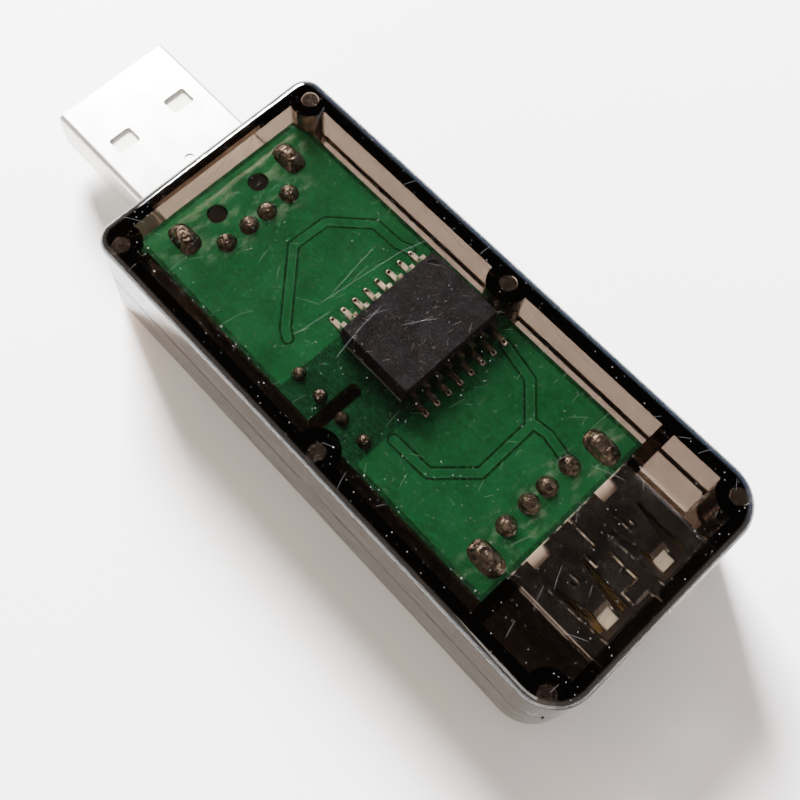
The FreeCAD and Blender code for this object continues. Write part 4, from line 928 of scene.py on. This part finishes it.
def joint_points(low, high, number):
    """Rings of points for one joint that fills its box, from its foot to its top."""
    middle = (low + high) / 2
    half = (high - low) / 2
    tall = high[2] - low[2]
    power = 2.0 + 1.5 * (half[0] / half[1] - 1.0)
    rings = []
    for share, rise in PROFILE:
        ring = []
        for step in range(ROUND_STEPS):
            turn_angle = 2 * math.pi * step / ROUND_STEPS
            wave = math.sin(3 * turn_angle + 1.7 * number) + 0.6 * math.sin(5 * turn_angle + 2.9 * number)
            uneven = 1.0 - 0.030 * (1.6 + wave) * math.sin(math.pi * min(1.0, rise + 0.15))
            lean = 0.05 * rise * (1.0 - share)
            across, along = math.cos(turn_angle), math.sin(turn_angle)
            corner = (abs(across) ** power + abs(along) ** power) ** (-1.0 / power)
            x = middle[0] + half[0] * (share * uneven * corner * across + lean * math.cos(2.3 * number))
            y = middle[1] + half[1] * (share * uneven * corner * along + lean * math.sin(2.3 * number))
            ring.append((x, y, low[2] + rise * tall))
        rings.append(ring)
    return rings


def stack_rings(points, faces, rings):
    """Adds one closed shape to points and faces, from rings of equally many points and two flat ends."""
    start, steps = len(points), len(rings[0])
    for ring in rings:
        points.extend(ring)
    for level in range(len(rings) - 1):
        lower, upper = start + level * steps, start + (level + 1) * steps
        for step in range(steps):
            after = (step + 1) % steps
            faces.append((lower + step, lower + after, upper + after, upper + step))
    last = start + (len(rings) - 1) * steps
    faces.append(tuple(start + step for step in reversed(range(steps))))
    faces.append(tuple(last + step for step in range(steps)))


print("levels in a joint:", len(PROFILE), "with", ROUND_STEPS, "points each")

# %% [markdown]
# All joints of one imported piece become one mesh, which stands in for it. Its sides are shaded smooth and its
# flat ends aren't, so that the cut end of the pin stays crisp.

# %% Soldered joints


def solder_object(name, points, faces, surface):
    """An object of solder with smooth sides."""
    mesh = bpy.data.meshes.new(name)
    mesh.from_pydata(points, [], faces)
    mesh.materials.append(surface)
    for polygon in mesh.polygons:
        polygon.use_smooth = len(polygon.vertices) == 4
    piece = bpy.data.objects.new(name, mesh)
    bpy.context.scene.collection.objects.link(piece)
    return piece


def solder_piece(name, node_name):
    """One mesh with a finer shape for every joint of a solder piece."""
    points, faces = [], []
    boxes = islands(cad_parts[node_name])
    for number, (low, high) in enumerate(boxes):
        stack_rings(points, faces, joint_points(low, high, number + len(node_name)))
    piece = solder_object(name, points, faces, surfaces["solder"])
    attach(piece, "root")
    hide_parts(node_name)
    print(name, "joints:", len(boxes))


for node_name in (
        "plug_pin_solder", "socket_pin_solder", "converter_solder", "plug_tab_solder", "socket_tab_solder"):
    solder_piece(node_name + "_fine", node_name)

# %% [markdown]
# Each flat foot of the chip sits in a small pool of solder that rises at the toe and hugs its sides. From
# above it shows as a bright rim round a dark hollow. Every pool is a low mound with a sunk middle, stacked
# from rings like the joints. Its outline is a circle that is pushed out a little at four corners.

# %% Solder at the chip's feet
POOL_STEPS = 24
POOL = [(1.0, 0.0), (0.93, 0.35), (0.80, 0.75), (0.66, 1.0), (0.50, 0.80), (0.30, 0.45), (0.12, 0.35)]
POOL_HALF_LONG, POOL_HALF_WIDE, POOL_TALL, POOL_AHEAD = 0.00046, 0.00029, 0.00013, 0.00006
LEADS_IN_A_ROW = 8


def pool_rings(middle_x, middle_y, number):
    """Rings of points for the pool round one foot, from the board up to the rim and down to the hollow."""
    rings = []
    for share, rise in POOL:
        ring = []
        for step in range(POOL_STEPS):
            turn_angle = 2 * math.pi * step / POOL_STEPS
            squared = 1.0 + 0.07 * math.cos(4 * turn_angle + math.pi) + 0.03 * math.sin(turn_angle + number)
            ring.append((
                middle_x + POOL_HALF_LONG * share * squared * math.cos(turn_angle),
                middle_y + POOL_HALF_WIDE * share * squared * math.sin(turn_angle),
                BOARD_TOP * MM + POOL_TALL * rise))
        rings.append(ring)
    return rings


points, faces = [], []
for number in range(1, 2 * LEADS_IN_A_ROW + 1):
    foot_low, foot_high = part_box("chip_lead_%d" % number)
    outward_end = foot_low[0] - POOL_AHEAD if number <= LEADS_IN_A_ROW else foot_high[0] + POOL_AHEAD
    stack_rings(points, faces, pool_rings(outward_end, (foot_low[1] + foot_high[1]) / 2, number))
pools = solder_object("lead_solder", points, faces, surfaces["lead_solder"])
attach(pools, "root")
print("pools of solder at the chip's feet:", number)
